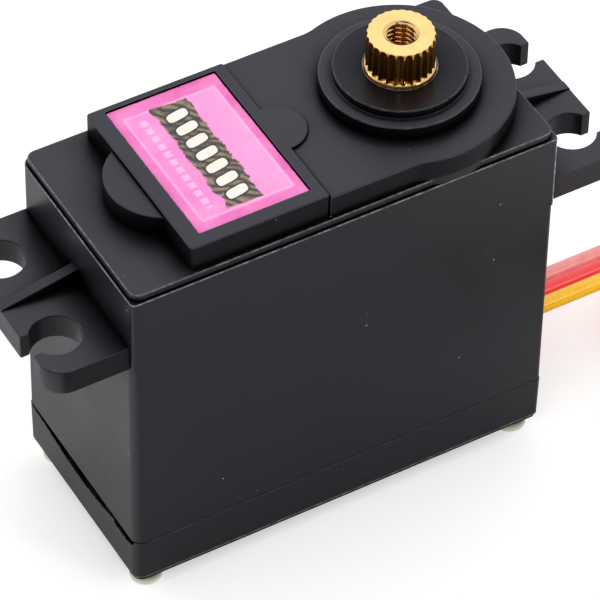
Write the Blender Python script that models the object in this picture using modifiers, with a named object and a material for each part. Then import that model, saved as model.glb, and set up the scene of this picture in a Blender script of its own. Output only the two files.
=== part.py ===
# Standard-size hobby servo: moulded case in three shells, four-stage spur gear train on two pins,
# two ball bearings round a splined brass output shaft, brushed motor, feedback potentiometer,
# controller board and a three-wire lead with its plug.
#
# Frame: origin at the centre of the case's bottom face, +X (front) towards the output shaft and
# the lead, +Y across the width, +Z up along the output shaft. Dimensions are in millimetres.

import math
from collections import namedtuple

import bmesh
import bpy
from mathutils import Matrix, Vector

MILLI = 0.001                        # scene metres per millimetre
FACET_SHARE = 0.72                   # share of the nominal side count given to round shapes

# ---- case ----
CASE_L, CASE_W = 40.7, 19.7
HALF_L, HALF_W = CASE_L / 2, CASE_W / 2
WALL = 1.2
INNER_X, INNER_Y = HALF_L - WALL, HALF_W - WALL
Z_LOW_SEAM = 5.0                     # bottom cover / middle case
Z_TOP_SEAM = 34.4                    # middle case / top cover
SEAM_GAP = 0.06
CORNER_R = 0.65
EDGE_INSET = 0.05                    # the middle case's lower body stands in by this much
COVER_INSET = 0.26                   # the top cover's plate stands in by this much
DECK_Z0, DECK_Z1 = 25.6, 27.0        # floor of the gear chamber
POST_TOP = 30.0                      # top of the middle case's screw posts
CABLE_HALF_W = 2.6                   # half width of the cable opening

Z_PLATE = 35.1                       # flat of the top cover
Z_DOME = 37.2                        # top of the gear dome
Z_FRAME = 37.5                       # top of the label frame
Z_BOSS1, Z_BOSS2 = 38.5, 39.3        # the two steps round the shaft
BOSS1_R, BOSS2_R = 6.9, 5.73
DOME_R = HALF_W
DOME_HALF_W = 9.2                    # half width at the dome's straight rear edge
FRAME_X0, FRAME_X1, FRAME_HALF_W = -14.45, -1.45, 9.1
RECESS_X0, RECESS_X1 = -13.0, -2.5   # label recess
RECESS_Y0, RECESS_Y1 = -7.75, 8.5
LABEL_GAP = 0.08

LUG_Z0, LUG_Z1 = 26.6, 29.1
LUG_END, LUG_HALF_W, LUG_CORNER_R = 27.6, 9.3, 2.1
LUG_ROOT = HALF_L - 1.5              # where a lug starts inside the wall
SLOT_X, SLOT_Y, SLOT_R = 24.9, 5.0, 2.2
SLOT_MOUTH = 1.15                    # half width of the slot's open mouth
RIB_T = 1.0

SCREW_X, SCREW_Y = 18.45, 8.0        # case screws, close in the corners
POST_R = 1.9
SCREW_HEAD_R, SCREW_R = 1.6, 0.85
SCREW_FIT = 0.12                     # radial play of the screw holes
TABLE_Z = -1.35                      # lowest face of the case screws' heads
CORNERS = [(x * SCREW_X, y * SCREW_Y) for y in (-1, 1) for x in (-1, 1)]

# ---- gear train ----
Stage = namedtuple("Stage", "module driver driven bottom top")    # teeth counts, wheel's z range
STAGE1 = Stage(0.30, 9, 37, 27.4, 28.9)
STAGE2 = Stage(0.35, 17, 41, 29.2, 31.2)
STAGE3 = Stage(0.35, 13, 45, 31.5, 33.5)
STAGE4 = Stage(0.50, 15, 32, 33.8, 35.8)


def centre_distance(stage):
    return stage.module * (stage.driver + stage.driven) / 2


OUT_X = HALF_L - DOME_R              # output axis: the dome is tangent to three sides
PIN_A_X = OUT_X - centre_distance(STAGE4)
PIN_B_X = PIN_A_X - centre_distance(STAGE3)
MOTOR_X = PIN_A_X - centre_distance(STAGE1)
OUT_AXIS, MOTOR_AXIS = (OUT_X, 0), (MOTOR_X, 0)
PIN_A, PIN_B = (PIN_A_X, 0), (PIN_B_X, 0)

PRESSURE_ANGLE = math.radians(20)
ADDENDUM, DEDENDUM = 0.95, 1.2       # in modules
TOOTH_THIN = 0.05                    # taken off the tooth thickness for backlash
PIN_R, PIN_FIT = 1.0, 0.03
PIN_A_Z, PIN_B_Z = 25.8, 26.3        # bottoms of the pin sockets
BORE_R = 1.04                        # gear bores on the pins
HUB_FIT = 0.03                       # radial play between a wheel and its hub
PINION_GAP = 0.02                    # between a pinion and the wheel below it

# ---- output shaft and bearings ----
SPLINE_R, SPLINE_TEETH, SPLINE_DEPTH = 2.96, 25, 0.3
SPLINE_TOP = 42.9
SHAFT_R = 2.97                       # runs in 6 mm bearing bores
COLLAR_R, FLANGE_R = 3.4, 3.7
BEARING_OD, BEARING_ID, BEARING_H = 10.0, 6.0, 3.0
BEARING_UP_Z, BEARING_LOW_Z = 36.05, 23.95
BEARING_SEAT_R = BEARING_OD / 2 + 0.06
BALLS, BALL_R = 7, 0.62

# ---- motor, potentiometer, board, lead ----
MOTOR_R, MOTOR_FLAT = 7.75, 7.2      # can radius, half width across its flats
MOTOR_TOP, MOTOR_BOTTOM = 25.45, 8.0
NOSE_H = 0.7
CAN_WALL = 0.55
MOTOR_SHAFT_R = 0.75
MOTOR_SCREW_Y = 4.9
POLES = 3
FIRST_POLE = math.radians(30)
POT_Z0, POT_Z1 = 16.8, 22.8
POT_PIN_Z = POT_Z0 - 2.4             # lower ends of the potentiometer's pins
BOARD_Z0, BOARD_Z1 = 1.9, 2.9
BOARD_HALF_L, BOARD_HALF_W, BOARD_CHAMFER = 16.6, 8.0, 2.6
BOARD_PART_Z = BOARD_Z1 + 0.03       # undersides of the parts on the board
WIRE_R, WIRE_PITCH, WIRE_Z = 0.7, 1.5, 4.05
COIL_R, COIL_TURNS, COIL_RISE = 15.0, 2.5, 2.0
COIL_STEPS = 16                      # points per turn
COIL_X, COIL_Y = 49.0, -COIL_R       # the lead meets the coil on y = 0
REST_Z = TABLE_Z + 0.1               # where the coil and the plug lie
PLUG_X, PLUG_Y = COIL_X - 15.0, COIL_Y - COIL_R    # wire end of the plug, its centre line
PLUG_L, PLUG_HALF_W, PLUG_H = 14.0, 3.85, 2.5
CONTACT_PITCH = 2.54

# ---- scene, collections, materials ----
for old in list(bpy.data.objects):
    bpy.data.objects.remove(old, do_unlink=True)
bpy.context.scene.unit_settings.system = "METRIC"
bpy.context.scene.unit_settings.scale_length = 1.0

PARTS = bpy.data.collections.new("servo_motor")
HELPERS = bpy.data.collections.new("cutters")
bpy.context.scene.collection.children.link(PARTS)
bpy.context.scene.collection.children.link(HELPERS)


def finish(name, colour, roughness, metallic=0.0):
    material = bpy.data.materials.new(name)
    material.use_nodes = True
    shader = material.node_tree.nodes["Principled BSDF"]
    shader.inputs["Base Color"].default_value = (*colour, 1.0)
    shader.inputs["Roughness"].default_value = roughness
    shader.inputs["Metallic"].default_value = metallic
    material.diffuse_color = (*colour, 1.0)
    return material


BLACK = finish("black_nylon", colour=(0.022, 0.022, 0.026), roughness=0.42)
PINK = finish("pink_label", colour=(0.93, 0.36, 0.72), roughness=0.45)
BRASS = finish("brass", colour=(0.86, 0.62, 0.25), roughness=0.22, metallic=1.0)
STEEL = finish("steel", colour=(0.62, 0.62, 0.63), roughness=0.25, metallic=1.0)
ALLOY = finish("gear_alloy", colour=(0.72, 0.71, 0.68), roughness=0.35, metallic=1.0)
CAN = finish("motor_can_plate", colour=(0.66, 0.66, 0.66), roughness=0.3, metallic=1.0)
COPPER = finish("copper_winding", colour=(0.75, 0.32, 0.14), roughness=0.3, metallic=1.0)
FERRITE = finish("ferrite", colour=(0.06, 0.06, 0.065), roughness=0.7)
WHITE_PLASTIC = finish("white_nylon", colour=(0.8, 0.8, 0.76), roughness=0.5)
POT_GREY = finish("pot_housing", colour=(0.10, 0.16, 0.30), roughness=0.5)
PHENOLIC = finish("phenolic", colour=(0.28, 0.14, 0.05), roughness=0.6)
BOARD_GREEN = finish("board_green", colour=(0.03, 0.22, 0.08), roughness=0.4)
CHIP = finish("chip_epoxy", colour=(0.03, 0.03, 0.03), roughness=0.55)
CAPACITOR = finish("capacitor_tan", colour=(0.55, 0.33, 0.12), roughness=0.5)
RUBBER = finish("grommet_rubber", colour=(0.02, 0.02, 0.02), roughness=0.8)
WIRE_BROWN = finish("wire_brown", colour=(0.16, 0.06, 0.03), roughness=0.45)
WIRE_RED = finish("wire_red", colour=(0.75, 0.03, 0.02), roughness=0.45)
WIRE_ORANGE = finish("wire_orange", colour=(0.95, 0.42, 0.0), roughness=0.45)


# ---- modelling helpers: a shape without a material is a hidden boolean helper ----
def facets(sides):
    """Sides of a round shape: even, and at least eight."""
    return max(8, 2 * round(sides * FACET_SHARE / 2))


def add_object(name, data, material, origin=(0, 0)):
    part = bpy.data.objects.new(name, data)
    part.location = Vector((*origin, 0)) * MILLI
    if material:
        PARTS.objects.link(part)
        data.materials.append(material)
    else:
        HELPERS.objects.link(part)
        part.hide_render = True
        part.display_type = "WIRE"
    return part


def from_bmesh(name, shape, material, origin=(0, 0)):
    bmesh.ops.scale(shape, vec=(MILLI, MILLI, MILLI), verts=shape.verts)
    bmesh.ops.recalc_face_normals(shape, faces=shape.faces)
    mesh = bpy.data.meshes.new(name)
    shape.to_mesh(mesh)
    shape.free()
    return add_object(name, mesh, material, origin)


def cylinder(name, radius, bottom, top, origin=(0, 0), sides=32, material=None):
    shape = bmesh.new()
    bmesh.ops.create_cone(shape, cap_ends=True, cap_tris=False, segments=facets(sides),
                          radius1=radius, radius2=radius, depth=top - bottom)
    bmesh.ops.translate(shape, verts=shape.verts, vec=(0, 0, (bottom + top) / 2))
    part = from_bmesh(name, shape, material, origin)
    part.data.shade_smooth()
    part.data.set_sharp_from_angle(angle=math.radians(35))
    return part


def block(name, low, high, material=None, origin=(0, 0)):
    """Box between two corners; the low corner may exceed the high one along an axis."""
    shape = bmesh.new()
    bmesh.ops.create_cube(shape, size=1)
    bmesh.ops.scale(shape, vec=Vector(high) - Vector(low), verts=shape.verts)
    bmesh.ops.translate(shape, verts=shape.verts, vec=(Vector(high) + Vector(low)) / 2)
    return from_bmesh(name, shape, material, origin)


def plate(name, loops, bottom, top, material=None, origin=(0, 0)):
    """An outline with optional holes: a filled 2D curve, extruded, then made a welded mesh."""
    curve = bpy.data.curves.new(name, "CURVE")
    curve.dimensions = "2D"
    curve.fill_mode = "BOTH"
    curve.extrude = (top - bottom) / 2
    for loop in loops:
        spline = curve.splines.new("POLY")
        spline.points.add(len(loop) - 1)
        for point, (x, y) in zip(spline.points, loop):
            point.co = (x, y, 0, 1)
        spline.use_cyclic_u = True
    outline = bpy.data.objects.new(name + "_outline", curve)
    bpy.context.scene.collection.objects.link(outline)
    bpy.context.view_layer.update()
    graph = bpy.context.evaluated_depsgraph_get()
    filled = bpy.data.meshes.new_from_object(outline.evaluated_get(graph))
    bpy.data.objects.remove(outline)
    bpy.data.curves.remove(curve)
    shape = bmesh.new()
    shape.from_mesh(filled)
    bpy.data.meshes.remove(filled)
    bmesh.ops.remove_doubles(shape, verts=shape.verts, dist=1e-3)
    bmesh.ops.translate(shape, verts=shape.verts, vec=(0, 0, (bottom + top) / 2))
    return from_bmesh(name, shape, material, origin)


def turned(name, profile, origin, sides, material, closed=False):
    """A turned shape: (radius, z) points spun about Z; a closed profile makes a ring."""
    shape = bmesh.new()
    verts = [shape.verts.new((radius * MILLI, 0, z * MILLI)) for radius, z in profile]
    for start, end in zip(verts, verts[1:]):
        shape.edges.new((start, end))
    if closed:
        shape.edges.new((verts[-1], verts[0]))
    mesh = bpy.data.meshes.new(name)
    shape.to_mesh(mesh)
    shape.free()
    part = add_object(name, mesh, material, origin)
    spin = part.modifiers.new("spin", "SCREW")
    spin.axis = "Z"
    spin.angle = 2 * math.pi
    spin.steps = spin.render_steps = facets(sides)
    spin.use_merge_vertices = True
    spin.merge_threshold = 1e-6
    spin.use_smooth_shade = True
    return part


def round_wire(name, points, radius, material):
    curve = bpy.data.curves.new(name, "CURVE")
    curve.dimensions = "3D"
    curve.bevel_depth = radius * MILLI
    curve.bevel_resolution = 1
    curve.use_fill_caps = True
    spline = curve.splines.new("POLY")
    spline.points.add(len(points) - 1)
    for point, place in zip(spline.points, points):
        point.co = (*(value * MILLI for value in place), 1)
    add_object(name, curve, material)


def boolean(part, others, operation):
    for other in others:
        modifier = part.modifiers.new(operation.lower() + "_" + other.name, "BOOLEAN")
        modifier.operation = operation
        modifier.solver = "EXACT"
        modifier.object = other


def cut(part, *others):
    boolean(part, others, "DIFFERENCE")


def join(part, *others):
    boolean(part, others, "UNION")


# ---- outlines ----
def polar(radius, angle):
    return radius * math.cos(angle), radius * math.sin(angle)


def arc(x, y, radius, start, end, steps):
    turn = end - start
    return [(x + radius * math.cos(start + turn * k / steps),
             y + radius * math.sin(start + turn * k / steps)) for k in range(steps + 1)]


def circle(radius, sides):
    count = facets(sides)
    return [polar(radius, 2 * math.pi * k / count) for k in range(count)]


def rounded(x_min, x_max, y_min, y_max, radius, steps):
    """Rectangle with round corners, counter-clockwise."""
    quarter = math.pi / 2
    centres = ((x_max - radius, y_max - radius), (x_min + radius, y_max - radius),
               (x_min + radius, y_min + radius), (x_max - radius, y_min + radius))
    points = []
    for k, (x, y) in enumerate(centres):
        points += arc(x, y, radius, k * quarter, (k + 1) * quarter, steps)
    return points


def case_outline(inset, radius=CORNER_R, steps=4):
    x, y = HALF_L - inset, HALF_W - inset
    return rounded(-x, x, -y, y, radius, steps)


def post_arc(half_x, half_y, radius, steps):
    """Arc round the +X +Y screw post, between the two walls of a half_x by half_y corner."""
    gap_x, gap_y = half_x - SCREW_X, half_y - SCREW_Y
    start = math.atan2(-math.sqrt(POST_R ** 2 - gap_x ** 2), gap_x)
    end = math.atan2(gap_y, -math.sqrt(POST_R ** 2 - gap_y ** 2)) - 2 * math.pi
    return arc(SCREW_X, SCREW_Y, radius, start, end, steps)


def chamber(name, bottom, top):
    """Cutter for the case's inside, its corners going round the screw posts."""
    corner = post_arc(INNER_X, INNER_Y, POST_R, 4)
    points = []
    for side_x, side_y in ((1, 1), (-1, 1), (-1, -1), (1, -1)):
        part = [(side_x * x, side_y * y) for x, y in corner]
        points += part[::-1] if side_x * side_y < 0 else part
    return plate(name, [points], bottom, top)


def flatted(inset=0.0):
    """The motor can's outline: a circle with two flats across Y."""
    radius = MOTOR_R - inset
    half = math.asin((MOTOR_FLAT - inset) / radius)
    return (arc(0, 0, radius, -half, half, 9)
            + arc(0, 0, radius, math.pi - half, math.pi + half, 9))


def gear_outline(module, teeth, shift=0.0, centre=0.0, base_point=False):
    """Spur outline with one tooth centred on the angle `centre`; `shift` is in modules.
    A flank is straight from root to tip, or has a point on the base circle too."""
    pitch = module * teeth / 2
    base = pitch * math.cos(PRESSURE_ANGLE)
    tip = module * (teeth / 2 + ADDENDUM + shift)
    root = module * (teeth / 2 - DEDENDUM + shift)
    thickness = module * (math.pi / 2 + 2 * shift * math.tan(PRESSURE_ANGLE)) - TOOTH_THIN

    def involute(angle):
        return math.tan(angle) - angle

    def half_angle(radius):
        turn = involute(math.acos(base / radius)) if radius > base else 0.0
        return thickness / (2 * pitch) + involute(PRESSURE_ANGLE) - turn

    radii = [root, base, tip] if base_point and root < base else [root, tip]
    flank = [(radius, half_angle(radius)) for radius in radii]
    points = []
    for k in range(teeth):
        middle = centre + 2 * math.pi * k / teeth
        points += [polar(radius, middle - half) for radius, half in flank]
        points += [polar(radius, middle + half) for radius, half in flank[::-1]]
    return points


# ---- case ----
def build_bottom_cover():
    cover = plate("bottom_cover", [case_outline(0)], 0, Z_LOW_SEAM - SEAM_GAP, BLACK)
    cut(cover, chamber("bottom_cavity", 1.3, 6))
    for k, corner in enumerate(CORNERS):
        cut(cover, cylinder(f"bottom_hole_{k}", SCREW_R + SCREW_FIT, -1, 6, corner, 16),
            cylinder(f"bottom_seat_{k}", SCREW_HEAD_R + 0.1, -1, 0.3, corner, 28))
    cut(cover, block("cable_notch", (INNER_X - 1, -CABLE_HALF_W, 2.9),
                     (HALF_L + 1, CABLE_HALF_W, 6)))


def upper_body():
    """Upper part of the middle case, with larger corner radii at +Y."""
    # corner radius, signs of x and y, steps
    corners = ((1.2, 1, 1, 4), (1.2, -1, 1, 4), (0.5, -1, -1, 3), (0.35, 1, -1, 2))
    points = []
    for k, (radius, side_x, side_y, steps) in enumerate(corners):
        points += arc(side_x * (HALF_L - radius), side_y * (HALF_W - radius), radius,
                      k * math.pi / 2, (k + 1) * math.pi / 2, steps)
    return plate("upper_body", [points], LUG_Z0, Z_TOP_SEAM)


def lug(name, side):
    """Mounting lug with two open slots. Drawn for +X, mirrored for -X."""
    mouth = math.asin(SLOT_MOUTH / SLOT_R)
    corner_x, corner_y = LUG_END - LUG_CORNER_R, LUG_HALF_W - LUG_CORNER_R
    points = [(LUG_ROOT, -LUG_HALF_W)]
    points += arc(corner_x, -corner_y, LUG_CORNER_R, -math.pi / 2, 0, 5)
    for y in (-SLOT_Y, SLOT_Y):
        points.append((LUG_END, y - SLOT_MOUTH))
        points += arc(SLOT_X, y, SLOT_R, -mouth, -2 * math.pi + mouth, 14)
        points.append((LUG_END, y + SLOT_MOUTH))
    points += arc(corner_x, corner_y, LUG_CORNER_R, 0, math.pi / 2, 5)
    points.append((LUG_ROOT, LUG_HALF_W))
    if side < 0:
        points = [(-x, y) for x, y in points][::-1]
    return plate(name, [points], LUG_Z0, LUG_Z1)


def gusset(name, side):
    """Rib on a lug's centre line, sloping from the case wall down to the lug's end."""
    root = HALF_L - 0.6
    shape = bmesh.new()
    bmesh.ops.create_cube(shape, size=1)
    bmesh.ops.scale(shape, vec=(LUG_END - root, RIB_T, 2.0), verts=shape.verts)
    bmesh.ops.translate(shape, verts=shape.verts, vec=((LUG_END + root) / 2, 0, LUG_Z1 - 0.6))
    for vert in shape.verts:
        if vert.co.z > LUG_Z1:
            vert.co.z = LUG_Z1 + (0.12 if vert.co.x > HALF_L + 2 else 1.45)
    if side < 0:
        bmesh.ops.scale(shape, vec=(-1, 1, 1), verts=shape.verts)
    return from_bmesh(name, shape, None)


def build_middle_case():
    """Lower and upper body, lugs with gussets, and a deck between the two chambers."""
    case = plate("middle_case", [case_outline(EDGE_INSET)], Z_LOW_SEAM, LUG_Z0 + 0.4, BLACK)
    join(case, upper_body())
    for name, side in (("front", 1), ("rear", -1)):
        join(case, lug(name + "_lug", side), gusset(name + "_gusset", side))
    cut(case, chamber("lower_chamber", 4, DECK_Z0), chamber("gear_chamber", DECK_Z1, 36),
        plate("chamber_top", [case_outline(WALL, 0.4, 2)], POST_TOP, 37))
    join(case, cylinder("bearing_boss", 6.4, POT_Z0 - 0.2, DECK_Z0 + 0.5, OUT_AXIS, 40),
         cylinder("rear_pin_boss", 1.5, DECK_Z1 - 0.5, STAGE2.bottom - 0.25, PIN_B, 20))
    # name, radius, bottom, top, axis, nominal sides
    bores = (("pot_pocket", 5.45, POT_Z0 - 1, POT_Z1 + 0.1, OUT_AXIS, 36),
             ("bearing_lip_hole", 3.7, 20, 28, OUT_AXIS, 28),
             ("lower_bearing_seat", BEARING_SEAT_R, BEARING_LOW_Z - 0.03, 28, OUT_AXIS, 40),
             ("motor_nose_hole", 2.2, 24, MOTOR_TOP + 0.8, MOTOR_AXIS, 24),
             ("motor_pinion_hole", 1.85, 24, 28, MOTOR_AXIS, 24),
             ("pin_a_socket", PIN_R + PIN_FIT, PIN_A_Z, 28, PIN_A, 20),
             ("pin_b_socket", PIN_R + PIN_FIT, PIN_B_Z, 30, PIN_B, 20))
    for bore in bores:
        cut(case, cylinder(*bore))
    for k, side in enumerate((-1, 1)):
        axis = (MOTOR_X, side * MOTOR_SCREW_Y)
        cut(case, cylinder(f"motor_screw_hole_{k}", 0.9, 24, 28, axis, 14),
            cylinder(f"motor_screw_sink_{k}", 1.65, DECK_Z1 - 0.75, 28, axis, 20))
    for k, corner in enumerate(CORNERS):
        cut(case, cylinder(f"middle_hole_{k}", SCREW_R + SCREW_FIT, 3, 36, corner, 16))
    cut(case, block("cable_relief", (INNER_X - 1, -CABLE_HALF_W, 4),
                    (HALF_L + 1, CABLE_HALF_W, Z_LOW_SEAM + 0.35)))


def gear_dome():
    """Dome outline; its wall is flush with the case's sides, past the inset plate."""
    meet = math.asin(DOME_HALF_W / DOME_R)
    outline = [(FRAME_X1, -DOME_HALF_W)]
    outline += arc(OUT_X, 0, DOME_R, -math.pi + meet, math.pi - meet, 44)
    outline.append((FRAME_X1, DOME_HALF_W))
    return plate("gear_dome", [outline], Z_TOP_SEAM + 0.1, Z_DOME)


def cover_post(name, corner):
    """Post standing on a screw post of the middle case, filling the corner."""
    half_x, half_y = INNER_X - 0.15, INNER_Y - 0.15
    outline = post_arc(half_x, half_y, POST_R - 0.02, 10) + [(half_x, half_y)]
    outline = [(math.copysign(x, corner[0]), math.copysign(y, corner[1])) for x, y in outline]
    return plate(name, [outline], POST_TOP + 0.15, Z_TOP_SEAM + 0.35)


def build_top_cover():
    """Plate, gear dome, label frame with a disc at each end, two bosses round the shaft."""
    cover = plate("top_cover", [case_outline(COVER_INSET, 0.9, 3)], Z_TOP_SEAM + SEAM_GAP,
                  Z_PLATE, BLACK)
    frame = rounded(FRAME_X0, FRAME_X1 + 0.02, -FRAME_HALF_W, FRAME_HALF_W, 0.25, 2)
    join(cover, gear_dome(),
         plate("label_frame", [frame], Z_TOP_SEAM + 0.15, Z_FRAME),
         cylinder("rear_half_disc", 5.13, Z_TOP_SEAM + 0.2, Z_DOME - 0.05, (-11.95, 0), 40),
         cylinder("front_half_disc", 2.65, Z_TOP_SEAM + 0.25, Z_FRAME - 0.03, (-1.4, 0), 28),
         cylinder("boss_low", BOSS1_R, 35.5, Z_BOSS1, OUT_AXIS, 48),
         cylinder("boss_high", BOSS2_R, 35.6, Z_BOSS2, OUT_AXIS, 48))
    for k, corner in enumerate(CORNERS):
        join(cover, cover_post(f"cover_post_{k}", corner))
    cut(cover,
        cylinder("dome_cavity", 8.85, 33, 36.0, OUT_AXIS, 48),
        block("train_cavity", (-8.6, -7.6, 33), (OUT_X - 4, 7.6, 36.02)),
        cylinder("upper_bearing_seat", BEARING_SEAT_R, 35, 39.1, OUT_AXIS, 40),
        cylinder("shaft_window", 3.2, 38, 41, OUT_AXIS, 36),
        block("label_recess", (RECESS_X0, RECESS_Y0, Z_FRAME - 0.3), (RECESS_X1, RECESS_Y1, 40)),
        cylinder("pin_a_cap", PIN_R + PIN_FIT, 34, 36.75, PIN_A, 20),
        cylinder("pin_b_cap", PIN_R + PIN_FIT, 33, 36.2, PIN_B, 20))
    for k, corner in enumerate(CORNERS):
        cut(cover, cylinder(f"cover_pilot_{k}", SCREW_R + 0.06, 29, 34.3, corner, 16))


def build_label():
    outline = rounded(RECESS_X0 + LABEL_GAP, RECESS_X1 - LABEL_GAP,
                      RECESS_Y0 + LABEL_GAP, RECESS_Y1 - LABEL_GAP, 0.15, 1)
    plate("label", [outline], Z_FRAME - 0.28, Z_FRAME - 0.16, PINK)


def build_case_screws():
    """Pan heads with a cross recess, standing proud under the cover."""
    z = TABLE_Z
    shank_z = 0.24                   # where the head meets the shank
    profile = [(0, 33.9), (0.3, 33.9), (SCREW_R, 33.0), (SCREW_R, shank_z),
               (SCREW_HEAD_R, shank_z), (SCREW_HEAD_R, z + 0.45), (1.52, z + 0.24),
               (1.3, z + 0.09), (1.0, z + 0.02), (0, z)]
    for k, corner in enumerate(CORNERS):
        screw = turned(f"case_screw_{k + 1}", profile, corner, 20, STEEL)
        for j in (0, 1):
            bar = block(f"cross_{k}_{j}", (-0.85, -0.2, z - 0.5), (0.85, 0.2, z + 0.6),
                        origin=corner)
            bar.rotation_euler.z = math.radians(35 + 40 * k + 90 * j)
            cut(screw, bar)


# ---- output shaft, gears, bearings ----
def build_output_shaft():
    """Splined head with a bore, collar and flange, two journals, round socket underneath."""
    root = SPLINE_R - SPLINE_DEPTH
    step = 2 * math.pi / SPLINE_TEETH
    # radius, angle as a share of the tooth step
    tooth = ((root, -0.40), (SPLINE_R, -0.13), (SPLINE_R, 0.13), (root, 0.40))
    spline = [polar(radius, (k + share) * step)
              for k in range(SPLINE_TEETH) for radius, share in tooth]
    profile = [(0, 39.55), (3.08, 39.55), (3.08, 39.15), (SHAFT_R, 39.05), (SHAFT_R, 35.95),
               (COLLAR_R, 35.9), (COLLAR_R, 34.2), (FLANGE_R, 34.2), (FLANGE_R, 33.85),
               (SHAFT_R, 33.8), (SHAFT_R, 24.1), (0, 24.1)]
    shaft = turned("output_shaft", profile, OUT_AXIS, 40, BRASS)
    join(shaft, plate("spline_head", [spline], 39.4, SPLINE_TOP, None, OUT_AXIS))
    cut(shaft, cylinder("tapped_hole", 1.27, 35.0, 44, OUT_AXIS, 24),
        cylinder("pot_socket", 1.62, 23, 30.5, OUT_AXIS, 24))


def compound_gear(name, pin, wheel_stage, pinion_stage, wheel_outline, pinion_outline,
                  hub_r, hub_sides, hub_drop=0.0, pinion_rise=0.0):
    """A wheel pressed on the hub of the pinion above it."""
    low, high = wheel_stage.bottom, wheel_stage.top
    bore = circle(BORE_R, 20)
    pinion = plate(name + "_gear_pinion", [pinion_outline, bore], high + PINION_GAP,
                   pinion_stage.top + pinion_rise, STEEL, pin)
    join(pinion, plate(name + "_hub", [circle(hub_r, hub_sides), bore],
                       low - hub_drop, high + 0.3, None, pin))
    plate(name + "_gear_wheel", [wheel_outline, circle(hub_r + HUB_FIT, hub_sides)],
          low, high, ALLOY, pin)


def build_gears():
    """Teeth are turned so that each pair meshes; profile shifts are opposite within a pair."""
    outline = gear_outline(STAGE4.module, STAGE4.driven, 0, math.pi + math.pi / STAGE4.driven, True)
    plate("output_gear", [outline, circle(COLLAR_R + HUB_FIT, 32)], 34.25, STAGE4.top - 0.02,
          ALLOY, OUT_AXIS)
    compound_gear("third", PIN_A, STAGE3, STAGE4,
                  gear_outline(STAGE3.module, STAGE3.driven, -0.25, math.pi),
                  gear_outline(STAGE4.module, STAGE4.driver, base_point=True), 2.4, 28)
    compound_gear("second", PIN_B, STAGE2, STAGE3,
                  gear_outline(STAGE2.module, STAGE2.driven),
                  gear_outline(STAGE3.module, STAGE3.driver, 0.25, math.pi / STAGE3.driver),
                  2.1, 24, hub_drop=0.1, pinion_rise=0.1)
    compound_gear("first", PIN_A, STAGE1, STAGE2,
                  gear_outline(STAGE1.module, STAGE1.driven, -0.4, math.pi),
                  gear_outline(STAGE2.module, STAGE2.driver, 0, math.pi + math.pi / STAGE2.driver),
                  2.2, 24, hub_drop=0.2)
    outline = gear_outline(STAGE1.module, STAGE1.driver, 0.4, math.pi / STAGE1.driver)
    plate("motor_pinion", [outline, circle(MOTOR_SHAFT_R + 0.02, 16)], STAGE1.bottom - 0.2,
          STAGE1.top, BRASS, MOTOR_AXIS)
    cylinder("centre_gear_pin", PIN_R, PIN_A_Z + 0.05, 36.65, PIN_A, 20, STEEL)
    cylinder("rear_gear_pin", PIN_R, PIN_B_Z + 0.05, 36.1, PIN_B, 20, STEEL)


def build_bearing(name, z):
    """Two grooved races and a caged row of balls, standing on height z."""
    inner, outer = BEARING_ID / 2, BEARING_OD / 2
    pitch = (inner + outer) / 2
    bore, top, half = inner + 0.005, z + BEARING_H, z + BEARING_H / 2
    edge, groove = 0.42, 0.3         # race thickness at the faces and at mid height
    turned(name + "_outer_race",
           [(outer, top), (outer, z), (outer - edge, z), (outer - groove, half),
            (outer - edge, top)], OUT_AXIS, 36, STEEL, True)
    turned(name + "_inner_race",
           [(inner + edge, top), (inner + groove, half), (inner + edge, z), (bore, z),
            (bore, top)], OUT_AXIS, 36, STEEL, True)
    cage = turned(name + "_ball_cage",
                  [(pitch + 0.22, z + 2.5), (pitch + 0.22, z + 0.5), (pitch - 0.22, z + 0.5),
                   (pitch - 0.22, z + 2.5)], OUT_AXIS, 32, BRASS, True)
    for k in range(BALLS):
        ball = bmesh.new()
        bmesh.ops.create_uvsphere(ball, u_segments=6, v_segments=5, radius=BALL_R)
        centre = (*polar(pitch, 2 * math.pi * k / BALLS), half)
        bmesh.ops.translate(ball, verts=ball.verts, vec=centre)
        join(cage, from_bmesh(f"{name}_ball_{k}", ball, None, OUT_AXIS))


# ---- motor ----
def build_motor_can():
    """Can with its nose, front bush and the two screws that hold it to the deck."""
    top = MOTOR_TOP
    can = plate("motor_can", [flatted()], MOTOR_BOTTOM, top, CAN, MOTOR_AXIS)
    join(can, cylinder("motor_nose", 2.1, top - 0.3, top + NOSE_H, MOTOR_AXIS, 24))
    cut(can, plate("can_hollow", [flatted(CAN_WALL)], MOTOR_BOTTOM - 1, top - 0.8, None,
                   MOTOR_AXIS),
        cylinder("bush_seat", 1.6, top - 2, top + 2, MOTOR_AXIS, 20))
    screw = [(0, 26.93), (1.55, 26.93), (1.55, 26.62), (0.8, 26.32), (0.8, 24.2), (0, 24.0)]
    for k, side in enumerate((-1, 1)):
        axis = (MOTOR_X, side * MOTOR_SCREW_Y)
        cut(can, cylinder(f"can_screw_hole_{k}", 0.88, top - 2, top + 1, axis, 14))
        turned(f"motor_screw_{k + 1}", screw, axis, 16, STEEL)
    turned("motor_front_bush", [(1.52, top + NOSE_H), (1.52, top - 0.7), (0.81, top - 0.7),
                                (0.81, top + NOSE_H)], MOTOR_AXIS, 18, BRASS, True)


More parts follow.
